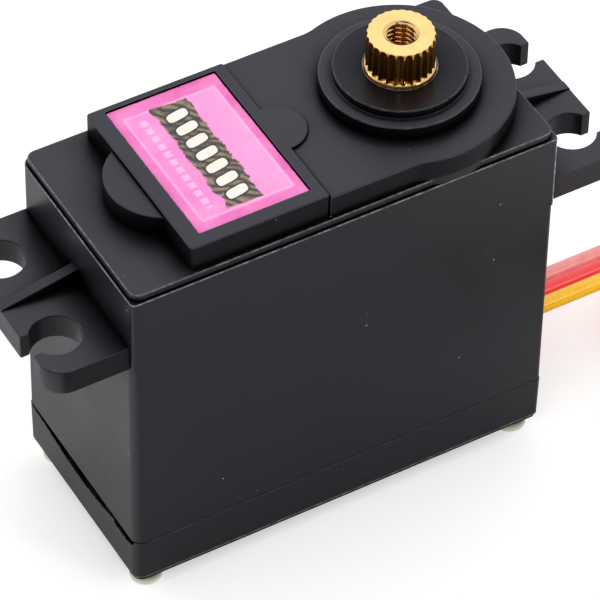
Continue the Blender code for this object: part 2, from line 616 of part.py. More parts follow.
def build_end_bell():
    """Plug and rim closing the can's bottom, and the brushes whose legs pass through it."""
    bell = plate("motor_end_bell", [flatted(0.6), circle(0.8, 16)], MOTOR_BOTTOM - 0.9,
                 MOTOR_BOTTOM + 1.2, WHITE_PLASTIC, MOTOR_AXIS)
    join(bell, plate("bell_rim", [flatted(), circle(1.4, 16)], MOTOR_BOTTOM - 1.0,
                     MOTOR_BOTTOM - 0.08, None, MOTOR_AXIS))
    for k, side in enumerate((-1, 1)):
        brush = block(f"motor_brush_{k + 1}", (-0.9, side * 1.75, 9.9), (0.9, side * 2.0, 11.3),
                      BRASS, MOTOR_AXIS)
        join(brush,
             block(f"brush_foot_{k}", (0.3, side * 1.8, 9.35), (0.85, side * 4.4, 10.2),
                   origin=MOTOR_AXIS),
             block(f"brush_leg_{k}", (0.25, side * 4.1, BOARD_Z1 + 0.06),
                   (0.8, side * 4.5, 10.1), origin=MOTOR_AXIS))
        cut(bell, block(f"tab_slot_{k}", (0.1, side * 3.95, 6), (0.95, side * 4.65, 12),
                        origin=MOTOR_AXIS))


def build_rotor():
    """Shaft, commutator and a three-pole core with a coil on each pole."""
    cylinder("motor_shaft", MOTOR_SHAFT_R, MOTOR_BOTTOM - 1.4, STAGE1.top - 0.05, MOTOR_AXIS,
             18, STEEL)
    turned("commutator", [(1.7, 11.6), (1.7, 9.6), (0.77, 9.6), (0.77, 11.6)], MOTOR_AXIS, 18,
           COPPER, True)
    # half a pole, from its root to the shoe: radius, degrees off the pole's middle
    pole_side = ((1.6, 36), (3.9, 11.5), (4.6, 46))
    shoe = math.radians(50)
    core = []
    for k in range(POLES):
        middle = 2 * math.pi * k / POLES + FIRST_POLE
        core += [polar(radius, middle - math.radians(angle)) for radius, angle in pole_side]
        core += arc(0, 0, 5.45, middle - shoe, middle + shoe, 8)
        core += [polar(radius, middle + math.radians(angle)) for radius, angle in pole_side[::-1]]
        coil = block(f"rotor_coil_{k + 1}", (2.35, -1.75, 12.6), (3.45, 1.75, 22.6), COPPER,
                     MOTOR_AXIS)
        window = block(f"coil_window_{k}", (1, -0.98, 13.55), (5, 0.98, 21.65),
                       origin=MOTOR_AXIS)
        cut(coil, window)
        coil.rotation_euler.z = window.rotation_euler.z = middle
    plate("rotor_core", [core, circle(0.77, 16)], 13.6, 21.6, FERRITE, MOTOR_AXIS)


def build_magnets():
    span = math.radians(58)
    for k, middle in enumerate((0.0, math.pi)):
        outline = (arc(0, 0, 7.1, middle - span, middle + span, 12)
                   + arc(0, 0, 5.8, middle + span, middle - span, 12))
        plate(f"motor_magnet_{k + 1}", [outline], 12.2, 23.2, FERRITE, MOTOR_AXIS)


# ---- feedback potentiometer, under the output shaft ----
def build_potentiometer():
    roof = POT_Z1 - 0.7
    turned("pot_body", [(2.6, POT_Z1), (5.3, POT_Z1), (5.3, POT_Z0), (4.7, POT_Z0), (4.7, roof),
                        (2.6, roof)], OUT_AXIS, 36, POT_GREY, True)
    base = plate("pot_base", [circle(4.6, 32), circle(1.2, 16)], POT_Z0 + 0.1, POT_Z0 + 1.1,
                 PHENOLIC, OUT_AXIS)
    for k, y in enumerate((-2.5, 0.0, 2.5)):
        join(base, block(f"pot_pin_{k}", (-3.5, y - 0.4, POT_PIN_Z),
                         (-3.1, y + 0.4, POT_Z0 + 0.6), origin=OUT_AXIS))
    shaft = turned("pot_shaft", [(0, 29.9), (1.5, 29.9), (1.5, 22.4), (2.4, 22.4), (2.4, 21.0),
                                 (1.5, 21.0), (1.0, 20.4), (1.0, 17.0), (0, 17.0)],
                   OUT_AXIS, 24, STEEL)
    cut(shaft, block("pot_flat", (1.05, -3, 23.2), (4, 3, 31), origin=OUT_AXIS))
    wiper = plate("pot_wiper", [circle(1.9, 20), circle(1.03, 16)], 19.0, 19.5, BRASS, OUT_AXIS)
    join(wiper, block("wiper_arm", (1.4, -0.5, 19.05), (4.3, 0.5, 19.3), origin=OUT_AXIS),
         block("wiper_tip", (3.5, -0.5, 18.2), (4.2, 0.5, 19.2), origin=OUT_AXIS))
    block("pot_ribbon", (-3.6, -2.9, BOARD_Z1 + 0.08), (-3.0, 2.9, POT_PIN_Z - 0.08),
          WIRE_BROWN, OUT_AXIS)


# ---- controller board ----
def build_board():
    x, y, chamfer = BOARD_HALF_L, BOARD_HALF_W, BOARD_CHAMFER
    outline = [(x, -y + chamfer), (x, y - chamfer), (x - chamfer, y), (-x + chamfer, y),
               (-x, y - chamfer), (-x, -y + chamfer), (-x + chamfer, -y), (x - chamfer, -y)]
    plate("circuit_board", [outline], BOARD_Z0, BOARD_Z1, BOARD_GREEN)
    z = BOARD_PART_Z
    centre = (4.2, 0)
    chip = block("control_chip", (-2.6, -2.4, z + 0.15), (2.6, 2.4, z + 1.2), CHIP, centre)
    for k in range(5):
        join(chip, block(f"chip_leads_{k}", (k - 2.2, -3.3, z), (k - 1.8, 3.3, z + 0.4),
                         origin=centre))
    for k, x in enumerate((-15.4, -12.6)):
        block(f"driver_mosfet_{k + 1}", (x, -5.0, z), (x + 2.2, -1.0, z + 1.3), CHIP)
    cylinder("filter_capacitor", 1.5, z, z + 3.3, (11.0, 5.2), 20, CAPACITOR)
    block("resonator", (-1.2, 3.9, z), (1.6, 5.3, z + 1.5), CAPACITOR)


# ---- lead ----
def build_grommet():
    grommet = block("cable_grommet", (INNER_X - 1.3, -3.4, 2.95), (INNER_X - 0.15, 3.4, 4.85),
                    RUBBER)
    join(grommet, block("grommet_neck", (INNER_X - 0.6, -2.5, 3.0), (HALF_L + 0.7, 2.5, 5.2)))
    for k in range(3):
        bore = cylinder(f"grommet_bore_{k}", WIRE_R + 0.02, -5, 5, sides=16)
        bore.rotation_euler.y = math.pi / 2
        bore.location = Vector((HALF_L, (k - 1) * WIRE_PITCH, WIRE_Z)) * MILLI
        cut(grommet, bore)


def lead_path(side):
    """Centre line of a wire `side` mm to the left of the lead's middle: straight out, down
    round the coil, into the plug."""
    floor = REST_Z + WIRE_R
    drop = COIL_RISE * COIL_TURNS
    top = floor + drop
    points = [(11.0, side, 3.68), (16.0, side, WIRE_Z), (32.0, side, WIRE_Z),
              (38.0, side, top - 0.35), (43.0, side, top - 0.1)]
    steps = int(COIL_STEPS * COIL_TURNS)
    radius = COIL_R + side
    for k in range(steps + 1):
        x, y = polar(radius, math.pi / 2 - 2 * math.pi * COIL_TURNS * k / steps)
        points.append((COIL_X + x, COIL_Y + y, floor + drop * (1 - k / steps)))
    y = COIL_Y - radius
    end = REST_Z + PLUG_H / 2
    for share in (0.35, 0.7, 1.0):
        ease = share * share * (3 - 2 * share)
        points.append((COIL_X - 12 * share, y, floor + (end - floor) * ease))
    points.append((PLUG_X - 2.0, y, end))
    return points


def build_wires():
    for name, side, material in (("wire_orange", -WIRE_PITCH, WIRE_ORANGE),
                                 ("wire_red", 0.0, WIRE_RED),
                                 ("wire_brown", WIRE_PITCH, WIRE_BROWN)):
        round_wire(name, lead_path(side), WIRE_R, material)


def build_plug():
    x, z = PLUG_X, REST_Z
    plug = block("connector_housing", (x - PLUG_L, PLUG_Y - PLUG_HALF_W, z),
                 (x, PLUG_Y + PLUG_HALF_W, z + PLUG_H), CHIP)
    for k in range(3):
        y = PLUG_Y + (k - 1) * CONTACT_PITCH
        cut(plug,
            block(f"plug_cavity_{k}", (x - 15, y - 0.85, z + 0.4), (x - 2.9, y + 0.85, z + 2.1)),
            block(f"plug_latch_{k}", (x - 9.0, y - 0.6, z + 1.8), (x - 5.6, y + 0.6, z + 3.2)))
        contact = block(f"contact_{k + 1}", (x - 12.6, y - 0.75, z + 0.5),
                        (x - 3.2, y + 0.75, z + 2.0), BRASS)
        cut(contact, block(f"contact_mouth_{k}", (x - 13.5, y - 0.5, z + 0.75),
                           (x - 7.0, y + 0.5, z + 1.75)))
    cut(plug, block("plug_wire_entry", (x - 3.1, PLUG_Y - 2.4, z + 0.4),
                    (x + 1, PLUG_Y + 2.4, z + 2.1)))


build_bottom_cover()
build_middle_case()
build_top_cover()
build_label()
build_case_screws()
build_output_shaft()
build_gears()
build_bearing("upper_bearing", BEARING_UP_Z)
build_bearing("lower_bearing", BEARING_LOW_Z)
build_motor_can()
build_end_bell()
build_rotor()
build_magnets()
build_potentiometer()
build_board()
build_grommet()
build_wires()
build_plug()
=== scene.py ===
"""A hobby servo with its three-wire lead, on a pale floor.

The bottom cover's underside is at z = 0 and the case rises along +Z. The mounting lugs stick out
at both X ends, and the output shaft points up from the +X half. The lead leaves low at the +X
end, coils on the floor and ends in a plug. "Front" is -Y and "back" is +Y.
Lengths are in millimetres unless a comment says otherwise.
"""

from math import (asin, atan2, ceil, copysign, cos, hypot, pi, radians, sin, sqrt, tan)

import bmesh
import bpy
import numpy as np
from mathutils import Matrix, Vector


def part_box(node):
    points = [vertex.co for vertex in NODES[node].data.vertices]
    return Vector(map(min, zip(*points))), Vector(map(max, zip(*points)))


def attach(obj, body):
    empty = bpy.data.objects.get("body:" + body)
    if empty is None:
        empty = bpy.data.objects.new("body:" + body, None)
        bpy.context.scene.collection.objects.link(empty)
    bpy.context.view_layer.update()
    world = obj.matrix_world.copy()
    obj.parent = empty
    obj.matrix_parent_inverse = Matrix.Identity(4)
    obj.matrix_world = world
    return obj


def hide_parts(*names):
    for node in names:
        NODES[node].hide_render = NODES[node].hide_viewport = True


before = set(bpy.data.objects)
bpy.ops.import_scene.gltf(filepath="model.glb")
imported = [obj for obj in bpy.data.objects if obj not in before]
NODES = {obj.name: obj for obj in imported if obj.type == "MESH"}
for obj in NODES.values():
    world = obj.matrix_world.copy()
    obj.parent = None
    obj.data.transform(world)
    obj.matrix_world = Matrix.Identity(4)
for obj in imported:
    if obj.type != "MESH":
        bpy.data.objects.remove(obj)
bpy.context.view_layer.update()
scene = bpy.context.scene
MM = 0.001                      # metres in a millimetre


def mm_box(node):
    low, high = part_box(node)
    return Vector(low) / MM, Vector(high) / MM


# ---- shared sizes ----
_, cover_high = mm_box("bottom_cover")
HALF_X, HALF_Y, LOW_SEAM_Z = cover_high.x, cover_high.y, cover_high.z + 0.06
_, case_high = mm_box("middle_case")
LUG_END, TOP_SEAM_Z = case_high.x, case_high.z
shaft_low, shaft_high = mm_box("output_shaft")
OUT_X = (shaft_low.x + shaft_high.x) / 2
SHAFT_TOP, SHAFT_BOTTOM = shaft_high.z, shaft_low.z
COLLAR_TOP = mm_box("top_cover")[1].z
LABEL_LOW, LABEL_HIGH = mm_box("label")
TABLE_Z = mm_box("case_screw_1")[0].z
PLATE_TOP, DOME_TOP, FRAME_TOP, BOSS_TOP = 35.1, 37.2, 37.5, 38.5
BOSS_R, COLLAR_R, DOME_R = 6.9, 5.73, HALF_Y
WALL = 1.2
INNER_X, INNER_Y = HALF_X - WALL, HALF_Y - WALL
LUG_BOTTOM, LUG_TOP, LUG_HALF_W = 26.6, 29.1, 9.3
HOLE_X, HOLE_Y, HOLE_R = 24.9, 5.0, 2.2         # lug holes
MOUTH = 1.15                                    # half width of the holes' open mouths
DECK_BOTTOM, DECK_TOP = 25.6, 27.0
SCREW_X, SCREW_Y, POST_R, SCREW_R, SCREW_HEAD_R = 18.45, 8.0, 1.9, 0.85, 1.44
SCREW_HOLE_R = SCREW_R + 0.12
PIN_A_X, PIN_B_X, PIN_HOLE_R, MOTOR_X = -1.25, -11.4, 1.03, -8.15
BEARING_HOLE_R = 5.06
CABLE_HALF_W = 2.6                              # cable opening in the +X wall
SIDES = ((-1, -1), (1, -1), (-1, 1), (1, 1))
CORNERS = [(side_x * SCREW_X, side_y * SCREW_Y) for side_x, side_y in SIDES]


# ---- outlines (counter-clockwise lists of x, y) ----
def inset(outline, distance):
    """The outline moved inwards, with mitred corners."""
    points = np.array(outline, float)
    normals = []
    for edge in (points - np.roll(points, 1, 0), np.roll(points, -1, 0) - points):
        normal = np.stack([edge[:, 1], -edge[:, 0]], 1)
        normals.append(normal / np.linalg.norm(normal, axis=1, keepdims=True))
    before, after = normals
    return points - distance * (before + after) / (1 + (before * after).sum(1))[:, None]


def arc(centre_x, centre_y, radius, start, end, steps):
    angles = [start + (end - start) * k / steps for k in range(steps + 1)]
    return [(centre_x + radius * cos(a), centre_y + radius * sin(a)) for a in angles]


def circle(centre_x, centre_y, radius, sides):
    angles = [2 * pi * k / sides for k in range(sides)]
    return [(centre_x + radius * cos(a), centre_y + radius * sin(a)) for a in angles]


def rounded(low, high, radius, steps):
    """Rectangle from corner low to corner high with rounded corners."""
    left, right = low[0] + radius, high[0] - radius
    front, back = low[1] + radius, high[1] - radius
    outline = []
    for k, corner in enumerate(((right, back), (left, back), (left, front), (right, front))):
        outline += arc(*corner, radius, k * (pi / 2), (k + 1) * (pi / 2), steps)
    return outline


def soften(points, steps, closed=True):
    """Points (x, y, radius): each corner becomes an arc, convex or concave."""
    outline = []
    for k, (x, y, radius) in enumerate(points):
        if radius <= 0 or (not closed and k in (0, len(points) - 1)):
            outline.append((x, y))
            continue
        corner = Vector((x, y))
        to_last = (Vector(points[k - 1][:2]) - corner).normalized()
        to_next = (Vector(points[(k + 1) % len(points)][:2]) - corner).normalized()
        half = to_last.angle(to_next) / 2
        centre = corner + (to_last + to_next).normalized() * (radius / sin(half))
        start = corner + to_last * (radius / tan(half)) - centre
        end = corner + to_next * (radius / tan(half)) - centre
        turn = start.angle_signed(end)
        for j in range(steps + 1):
            cosine, sine = cos(-turn * j / steps), sin(-turn * j / steps)
            outline.append((centre.x + start.x * cosine - start.y * sine,
                            centre.y + start.x * sine + start.y * cosine))
    return outline


def box_outline(half_x, half_y, radii, steps):
    """Rectangle about the origin, its corner radii starting at +X -Y."""
    corners = ((1, -1), (1, 1), (-1, 1), (-1, -1))
    return soften([(i * half_x, j * half_y, r) for (i, j), r in zip(corners, radii)], steps)


def densify(outline, step):
    points = []
    for (x0, y0), (x1, y1) in zip(outline, outline[1:] + outline[:1]):
        count = max(1, round(hypot(x1 - x0, y1 - y0) / step))
        points += [(x0 + (x1 - x0) * k / count, y0 + (y1 - y0) * k / count)
                   for k in range(count)]
    return points


def mirrored(points, side_x, side_y):
    """The points on the given sides, reversed where mirroring would turn them about."""
    flipped = [(side_x * x, side_y * y) for x, y in points]
    return flipped[::-1] if side_x * side_y < 0 else flipped


# ---- mesh tools ----
def link_object(name, mesh):
    piece = bpy.data.objects.new(name, mesh)
    scene.collection.objects.link(piece)
    return piece


def make(name, verts, faces):
    mesh = bpy.data.meshes.new(name)
    mesh.from_pydata([(x * MM, y * MM, z * MM) for x, y, z in verts], [], faces)
    mesh.update()
    return link_object(name, mesh)


def from_bmesh(name, bm):
    mesh = bpy.data.meshes.new(name)
    bm.to_mesh(mesh)
    bm.free()
    return link_object(name, mesh)


def capped_faces(rows, sides):
    """Faces of a stack of equal rings: two end caps, then the walls."""
    last = (rows - 1) * sides
    faces = [tuple(reversed(range(sides))), tuple(range(last, last + sides))]
    for start in range(0, last, sides):
        for j in range(sides):
            k = (j + 1) % sides
            faces.append((start + j, start + k, start + sides + k, start + sides + j))
    return faces


def slab(name, outline, z_low, z_top, round_low=0.0, round_top=0.0, steps=4, warp=None,
         low_rows=None):
    """A flat outline raised in Z, its edges rounded, or with low_rows (inset, z) at the foot."""
    quarter = [pi / 2 * k / steps for k in range(steps + 1)]
    rows = low_rows or [(0, z_low)]
    if round_low:
        rows = [(round_low * (1 - sin(a)), z_low + round_low * (1 - cos(a))) for a in quarter]
    if round_top:
        rows = rows + [(round_top * (1 - cos(a)), z_top - round_top * (1 - sin(a)))
                       for a in quarter]
    else:
        rows = rows + [(0, z_top)]
    verts = []
    for distance, z in rows:
        verts += [(x, y, z) for x, y in (inset(outline, distance) if distance else outline)]
    if warp:
        verts = [warp(*vert) for vert in verts]
    return make(name, verts, capped_faces(len(rows), len(outline)))


def cylinder(radius, z_low, z_top, at=(0, 0), sides=48):
    return slab("tool", circle(*at, radius, sides), z_low, z_top)


def lathe(name, profile, at, sides):
    """(radius, z) points turned about Z: from the axis outwards, up, and back to the axis."""
    verts, rings, faces = [], [], []
    for radius, z in profile:
        if radius < 1e-6:
            rings.append([len(verts)])
            verts.append((at[0], at[1], z))
        else:
            rings.append(list(range(len(verts), len(verts) + sides)))
            verts += [(x, y, z) for x, y in circle(*at, radius, sides)]
    for lower, upper in zip(rings, rings[1:]):
        for j in range(sides):
            k = (j + 1) % sides
            if len(lower) == 1:
                faces.append((lower[0], upper[k], upper[j]))
            elif len(upper) == 1:
                faces.append((lower[j], lower[k], upper[0]))
            else:
                faces.append((lower[j], lower[k], upper[k], upper[j]))
    return make(name, verts, faces)


def block(name, low, high, bevel=0.0, steps=3):
    bm = bmesh.new()
    bmesh.ops.create_cube(bm, size=1)
    bmesh.ops.scale(bm, vec=(Vector(high) - Vector(low)) * MM, verts=bm.verts)
    bmesh.ops.translate(bm, verts=bm.verts, vec=(Vector(high) + Vector(low)) / 2 * MM)
    if bevel:
        bmesh.ops.bevel(bm, geom=bm.edges, offset=bevel * MM, segments=steps, profile=0.5,
                        affect="EDGES")
    return from_bmesh(name, bm)


def build(piece, *operations):
    """Applies Booleans: ('+', objects...) joins, ('-', objects...) cuts. Uses up the tools."""
    used = []
    for sign, *tools in operations:
        for tool in tools:
            modifier = piece.modifiers.new("op", "BOOLEAN")
            modifier.operation = "UNION" if sign == "+" else "DIFFERENCE"
            modifier.solver = "EXACT"
            modifier.object = tool
            used.append(tool)
    bpy.context.view_layer.update()
    evaluated = piece.evaluated_get(bpy.context.evaluated_depsgraph_get())
    mesh = bpy.data.meshes.new_from_object(evaluated)
    piece.modifiers.clear()
    piece.data = mesh
    for tool in used:
        bpy.data.objects.remove(tool, do_unlink=True)
    bm = bmesh.new()
    bm.from_mesh(piece.data)
    bmesh.ops.remove_doubles(bm, verts=bm.verts, dist=2e-7)
    bmesh.ops.dissolve_degenerate(bm, edges=bm.edges, dist=2e-7)
    bm.to_mesh(piece.data)
    bm.free()
    return piece


def shade(piece, angle=32):
    """Smooth shading, with edges sharper than the angle (degrees) kept crisp."""
    piece.data.shade_smooth()
    piece.data.set_sharp_from_angle(angle=radians(angle))
    modifier = piece.modifiers.new("normals", "WEIGHTED_NORMAL")
    modifier.keep_sharp = True
    modifier.weight = 60


def dress(piece, material, node, body="case"):
    piece.data.materials.clear()
    piece.data.materials.append(material)
    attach(piece, body)
    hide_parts(node)


# ---- material tools ----
NOISE_SPAN = (0.3, 0.7)         # the part of a noise's range where nearly all of it falls


def srgb(*channels):
    """0-255 display values to a linear colour."""
    linear = []
    for value in channels:
        value /= 255
        linear.append(value / 12.92 if value <= 0.04045 else ((value + 0.055) / 1.055) ** 2.4)
    return (*linear, 1.0)


def scaled(color, factor):
    return (*[min(1, value * factor) for value in color[:3]], 1)


class Graph:
    """Short ways to add shader nodes. Every value may be a number or a socket."""

    def __init__(self, tree):
        self.tree = tree

    def node(self, kind, **props):
        node = self.tree.nodes.new(kind)
        for key, value in props.items():
            setattr(node, key, value)
        return node

    def put(self, value, socket):
        if isinstance(value, bpy.types.NodeSocket):
            self.tree.links.new(value, socket)
        else:
            socket.default_value = value

    def math(self, operation, *values, clamp=False):
        node = self.node("ShaderNodeMath", operation=operation, use_clamp=clamp)
        for value, socket in zip((*values, 0.0, 0.0), node.inputs):
            self.put(value, socket)
        return node.outputs[0]

    def times(self, product, *factors):
        for factor in factors:
            product = self.math("MULTIPLY", product, factor)
        return product

    def inverse(self, value):
        return self.math("SUBTRACT", 1.0, value)

    def larger(self, first, second):
        return self.math("MAXIMUM", first, second)

    def ramp(self, value, span, out=(0.0, 1.0), smooth=False):
        """Maps the span (start, end) onto out, and clamps."""
        kind = "SMOOTHSTEP" if smooth else "LINEAR"
        node = self.node("ShaderNodeMapRange", interpolation_type=kind)
        for item, socket in zip((value, *span, *out), node.inputs):
            self.put(item, socket)
        return node.outputs[0]

    def band(self, value, rise, fall):
        """1 between two ramps; fall runs from its zero end to its full end."""
        return self.times(self.ramp(value, rise), self.ramp(value, fall))

    def mix(self, share, first, second, blend="MIX"):
        node = self.node("ShaderNodeMix", data_type="RGBA", blend_type=blend)
        self.put(share, node.inputs["Factor"])
        self.put(first, node.inputs[6])
        self.put(second, node.inputs[7])
        return node.outputs[2]

    def split(self, vector):
        node = self.node("ShaderNodeSeparateXYZ")
        self.put(vector, node.inputs[0])
        return tuple(node.outputs)


class Material(Graph):
    """A material whose coordinates are millimetres in the object's own frame."""
    INPUTS = {"color": "Base Color", "rough": "Roughness", "metal": "Metallic",
              "spec": "Specular IOR Level", "normal": "Normal", "coat": "Coat Weight",
              "coat_rough": "Coat Roughness", "glow": "Emission Color",
              "glow_strength": "Emission Strength"}

    def __init__(self, name):
        self.material = bpy.data.materials.new(name)
        self.material.use_nodes = True
        super().__init__(self.material.node_tree)
        coord = self.node("ShaderNodeTexCoord")
        scale = self.node("ShaderNodeVectorMath", operation="SCALE")
        self.put(coord.outputs["Object"], scale.inputs[0])
        scale.inputs["Scale"].default_value = 1000.0
        self.mm = scale.outputs[0]

    def set(self, **values):
        shader = self.tree.nodes["Principled BSDF"]
        for key, value in values.items():
            self.put(value, shader.inputs[self.INPUTS[key]])
        return self.material

    def normal_parts(self):
        return self.split(self.node("ShaderNodeTexCoord").outputs["Normal"])

    def noise(self, scale, detail=3, rough=0.5, stretch=None, distortion=0.0):
        node = self.node("ShaderNodeTexNoise")
        vector = self.mm
        if stretch:
            multiply = self.node("ShaderNodeVectorMath", operation="MULTIPLY")
            self.put(vector, multiply.inputs[0])
            multiply.inputs[1].default_value = stretch
            vector = multiply.outputs[0]
        for key, value in (("Vector", vector), ("Scale", scale), ("Detail", detail),
                           ("Roughness", rough), ("Distortion", distortion)):
            self.put(value, node.inputs[key])
        return node.outputs["Fac"]

    def bump(self, height, strength, distance=0.00002, normal=None):
        """Surface relief; the distance is in metres."""
        node = self.node("ShaderNodeBump")
        self.put(height, node.inputs["Height"])
        node.inputs["Strength"].default_value = strength
        node.inputs["Distance"].default_value = distance
        if normal is not None:
            self.put(normal, node.inputs["Normal"])
        return node.outputs[0]

    def specks(self, cell, radius, keep):
        """Sparse round specks, one per cell, of which only the share keep stays."""
        node = self.node("ShaderNodeTexVoronoi")
        self.put(self.mm, node.inputs["Vector"])
        node.inputs["Scale"].default_value = 1 / cell
        near = self.math("LESS_THAN", node.outputs["Distance"], radius / cell)
        chosen = self.math("LESS_THAN", self.split(node.outputs["Color"])[0], keep)
        return self.times(near, chosen)

    def openness(self, distance, inside=False):
        """Share of directions open within the distance; inside, low values are outer edges."""
        node = self.node("ShaderNodeAmbientOcclusion", inside=inside, only_local=inside,
                         samples=8)
        node.inputs["Distance"].default_value = distance * MM
        return node.outputs["AO"]


# ---- materials ----
def black_plastic(name, rough=0.34, edge_glint=0.015):
    """Black nylon with scuffs and dust, painted shade, painted light on the front face and
    painted highlights along edges; the last argument is the painted highlight's strength on
    ordinary edges.
    """
    mat = Material(name)
    base = (0.0085, 0.0088, 0.0115)
    _, _, height = mat.split(mat.mm)
    broad = mat.noise(scale=0.11, rough=0.55)
    fine = mat.noise(scale=7.0, detail=4, rough=0.6)
    drag = mat.noise(scale=1.0, detail=4, rough=0.6, stretch=(0.35, 9.0, 2.0))
    tint = mat.mix(broad, scaled(base, 0.75), scaled(base, 1.4))
    scuff = mat.ramp(mat.noise(scale=0.9, detail=5, rough=0.7), (0.64, 0.74))
    tint = mat.mix(mat.times(scuff, 0.10), tint, srgb(120, 122, 128))
    x, y, _ = mat.split(mat.mm)
    dust = mat.larger(mat.specks(cell=3.4, radius=0.09, keep=0.6),
                      mat.specks(cell=1.7, radius=0.045, keep=0.4))
    tint = mat.mix(mat.times(dust, 0.5), tint, srgb(190, 192, 195))

    # painted shade: sheltered corners above the foot are painted darker in colour and shine, by
    # a wide and a narrow reach
    bright = mat.times(mat.ramp(mat.openness(3.4), (0.42, 0.98), out=(0.05, 1.0)),
                       mat.ramp(mat.openness(0.9), (0.30, 0.85), out=(0.35, 1.0)))
    bright = mat.inverse(mat.times(mat.ramp(height, (0.6, 2.6)), mat.inverse(bright)))
    _, normal_y, normal_z = mat.normal_parts()
    steep = mat.ramp(mat.math("ABSOLUTE", normal_z), (0.60, 0.30))
    front = mat.ramp(normal_y, (-0.6, -0.85))
    walls = mat.times(steep, mat.ramp(height, (35.15, 35.35)))
    lug_side = mat.times(steep, mat.ramp(x, (-20.4, -20.6)), mat.ramp(y, (-9.0, -9.2)))
    crown = mat.ramp(height, (39.0, 39.25))
    ledge = mat.times(mat.ramp(normal_z, (0.4, 0.7)),
                      mat.band(height, rise=(3.2, 3.5), fall=(5.4, 5.2)),
                      mat.ramp(x, (-18.6, -18.8)))
    sole = mat.times(mat.ramp(height, (0.52, 0.48)), mat.ramp(y, (-9.2, -9.35)))
    # painted shade on the walls of the top, front of the -X lug, ring round the shaft, -X seam,
    # front foot strip: each with the share of brightness it loses
    for mask, loss in ((walls, 0.58), (lug_side, 0.50), (crown, 0.42), (ledge, 0.93),
                       (sole, 0.75)):
        bright = mat.times(bright, mat.inverse(mat.times(mask, loss)))
    # painted light: the front face is painted brighter upwards and towards +X
    lift = mat.times(mat.ramp(height, (0.0, 12.0), out=(0.84, 1.0)),
                     mat.ramp(x, (0.0, 20.0), out=(1.0, 1.20)))
    bright = mat.times(bright, mat.ramp(front, (0.0, 1.0), out=(1.0, lift)))
    tint = mat.mix(1.0, tint, bright, "MULTIPLY")

    # painted highlight: heights whose edges are painted pale: upper body rim, plate edge, boss
    # steps
    rim = mat.band(height, rise=(34.1, 34.25), fall=(34.5, 34.42))
    plate = mat.band(height, rise=(34.85, 34.95), fall=(35.2, 35.12))
    rim = mat.larger(rim, mat.times(plate, 0.9))
    boss_steps = mat.larger(mat.band(height, rise=(38.3, 38.4), fall=(38.6, 38.55)),
                            mat.ramp(height, (39.1, 39.2)))
    rim = mat.larger(rim, mat.times(boss_steps, 0.6))
    edges = mat.ramp(mat.openness(0.09, inside=True), (0.94, 0.74))
    glint_mask = mat.times(edges, mat.ramp(rim, (0, 1), out=(edge_glint, 1.0)))
    # painted highlight lines: the upright corner at +X -Y above the lugs' underside, and the
    # front foot line
    corner = mat.times(mat.ramp(x, (20.45, 20.38)),
                       mat.ramp(mat.math("SUBTRACT", x, y), (29.92, 29.97)))
    corner = mat.times(corner, mat.band(height, rise=(26.4, 26.8), fall=(34.5, 34.42)))
    foot = mat.times(mat.band(height, rise=(0.50, 0.53), fall=(0.68, 0.62)),
                     mat.ramp(y, (-9.2, -9.35)))
    glint_mask = mat.larger(glint_mask, mat.larger(mat.times(corner, 0.75), mat.times(foot, 0.24)))
    # the painted edge highlights are broken up by noise, then mixed in pale
    glint_breakup = mat.noise(scale=1.6, detail=5, rough=0.8)
    glint_mask = mat.times(glint_mask, mat.ramp(glint_breakup, (0.38, 0.60), out=(0.15, 1.0)))
    tint = mat.mix(glint_mask, tint, srgb(240, 241, 244))

    roughness = mat.math("ADD", mat.ramp(broad, NOISE_SPAN, out=(rough - 0.04, rough + 0.05)),
                         mat.times(mat.ramp(drag, NOISE_SPAN), 0.04))
    relief = mat.bump(fine, strength=0.10, distance=0.00003)
    relief = mat.bump(drag, strength=0.06, distance=0.00003, normal=relief)
    return mat.set(color=tint, rough=roughness, normal=relief,
                   spec=mat.times(mat.larger(bright, glint_mask), 0.5))


def metal(name, color, rough, grain=(1, 1, 1), grain_scale=3.0, dark=0.75, bump=0.05,
          metallic=1.0, flank_reflection=None):
    """Grained metal; dark scales its darker spots, and the last argument, if given, is a colour
    painted on its upright faces as a painted reflection.
    """
    mat = Material(name)
    streaks = mat.noise(scale=grain_scale, detail=5, rough=0.6, stretch=grain)
    spots = mat.noise(scale=0.7, rough=0.6)
    tint = mat.mix(mat.ramp(spots, NOISE_SPAN), scaled(color, dark), color)
    tint = mat.mix(mat.times(mat.ramp(streaks, (0.35, 0.65)), 0.15), tint, scaled(color, 1.15))
    # painted reflection: upright faces are painted in their own darker, warmer colour
    if flank_reflection is not None:
        facing = mat.math("ABSOLUTE", mat.normal_parts()[2])
        tint = mat.mix(mat.ramp(facing, (0.75, 0.35)), tint, flank_reflection)
    return mat.set(color=tint, metal=metallic, normal=mat.bump(streaks, bump),
                   rough=mat.ramp(streaks, NOISE_SPAN, out=(rough * 0.75, rough * 1.3)))


def plain_plastic(name, color, rough, bump=0.05, coat=0.0):
    mat = Material(name)
    fine = mat.noise(scale=4.0, detail=4, rough=0.6)
    broad = mat.noise(scale=0.35)
    tint = mat.mix(mat.ramp(broad, NOISE_SPAN), scaled(color, 1 - 0.15), scaled(color, 1 + 0.15))
    return mat.set(color=tint, normal=mat.bump(fine, bump), coat=coat,
                   rough=mat.ramp(fine, NOISE_SPAN, out=(rough * 0.85, rough * 1.15)))


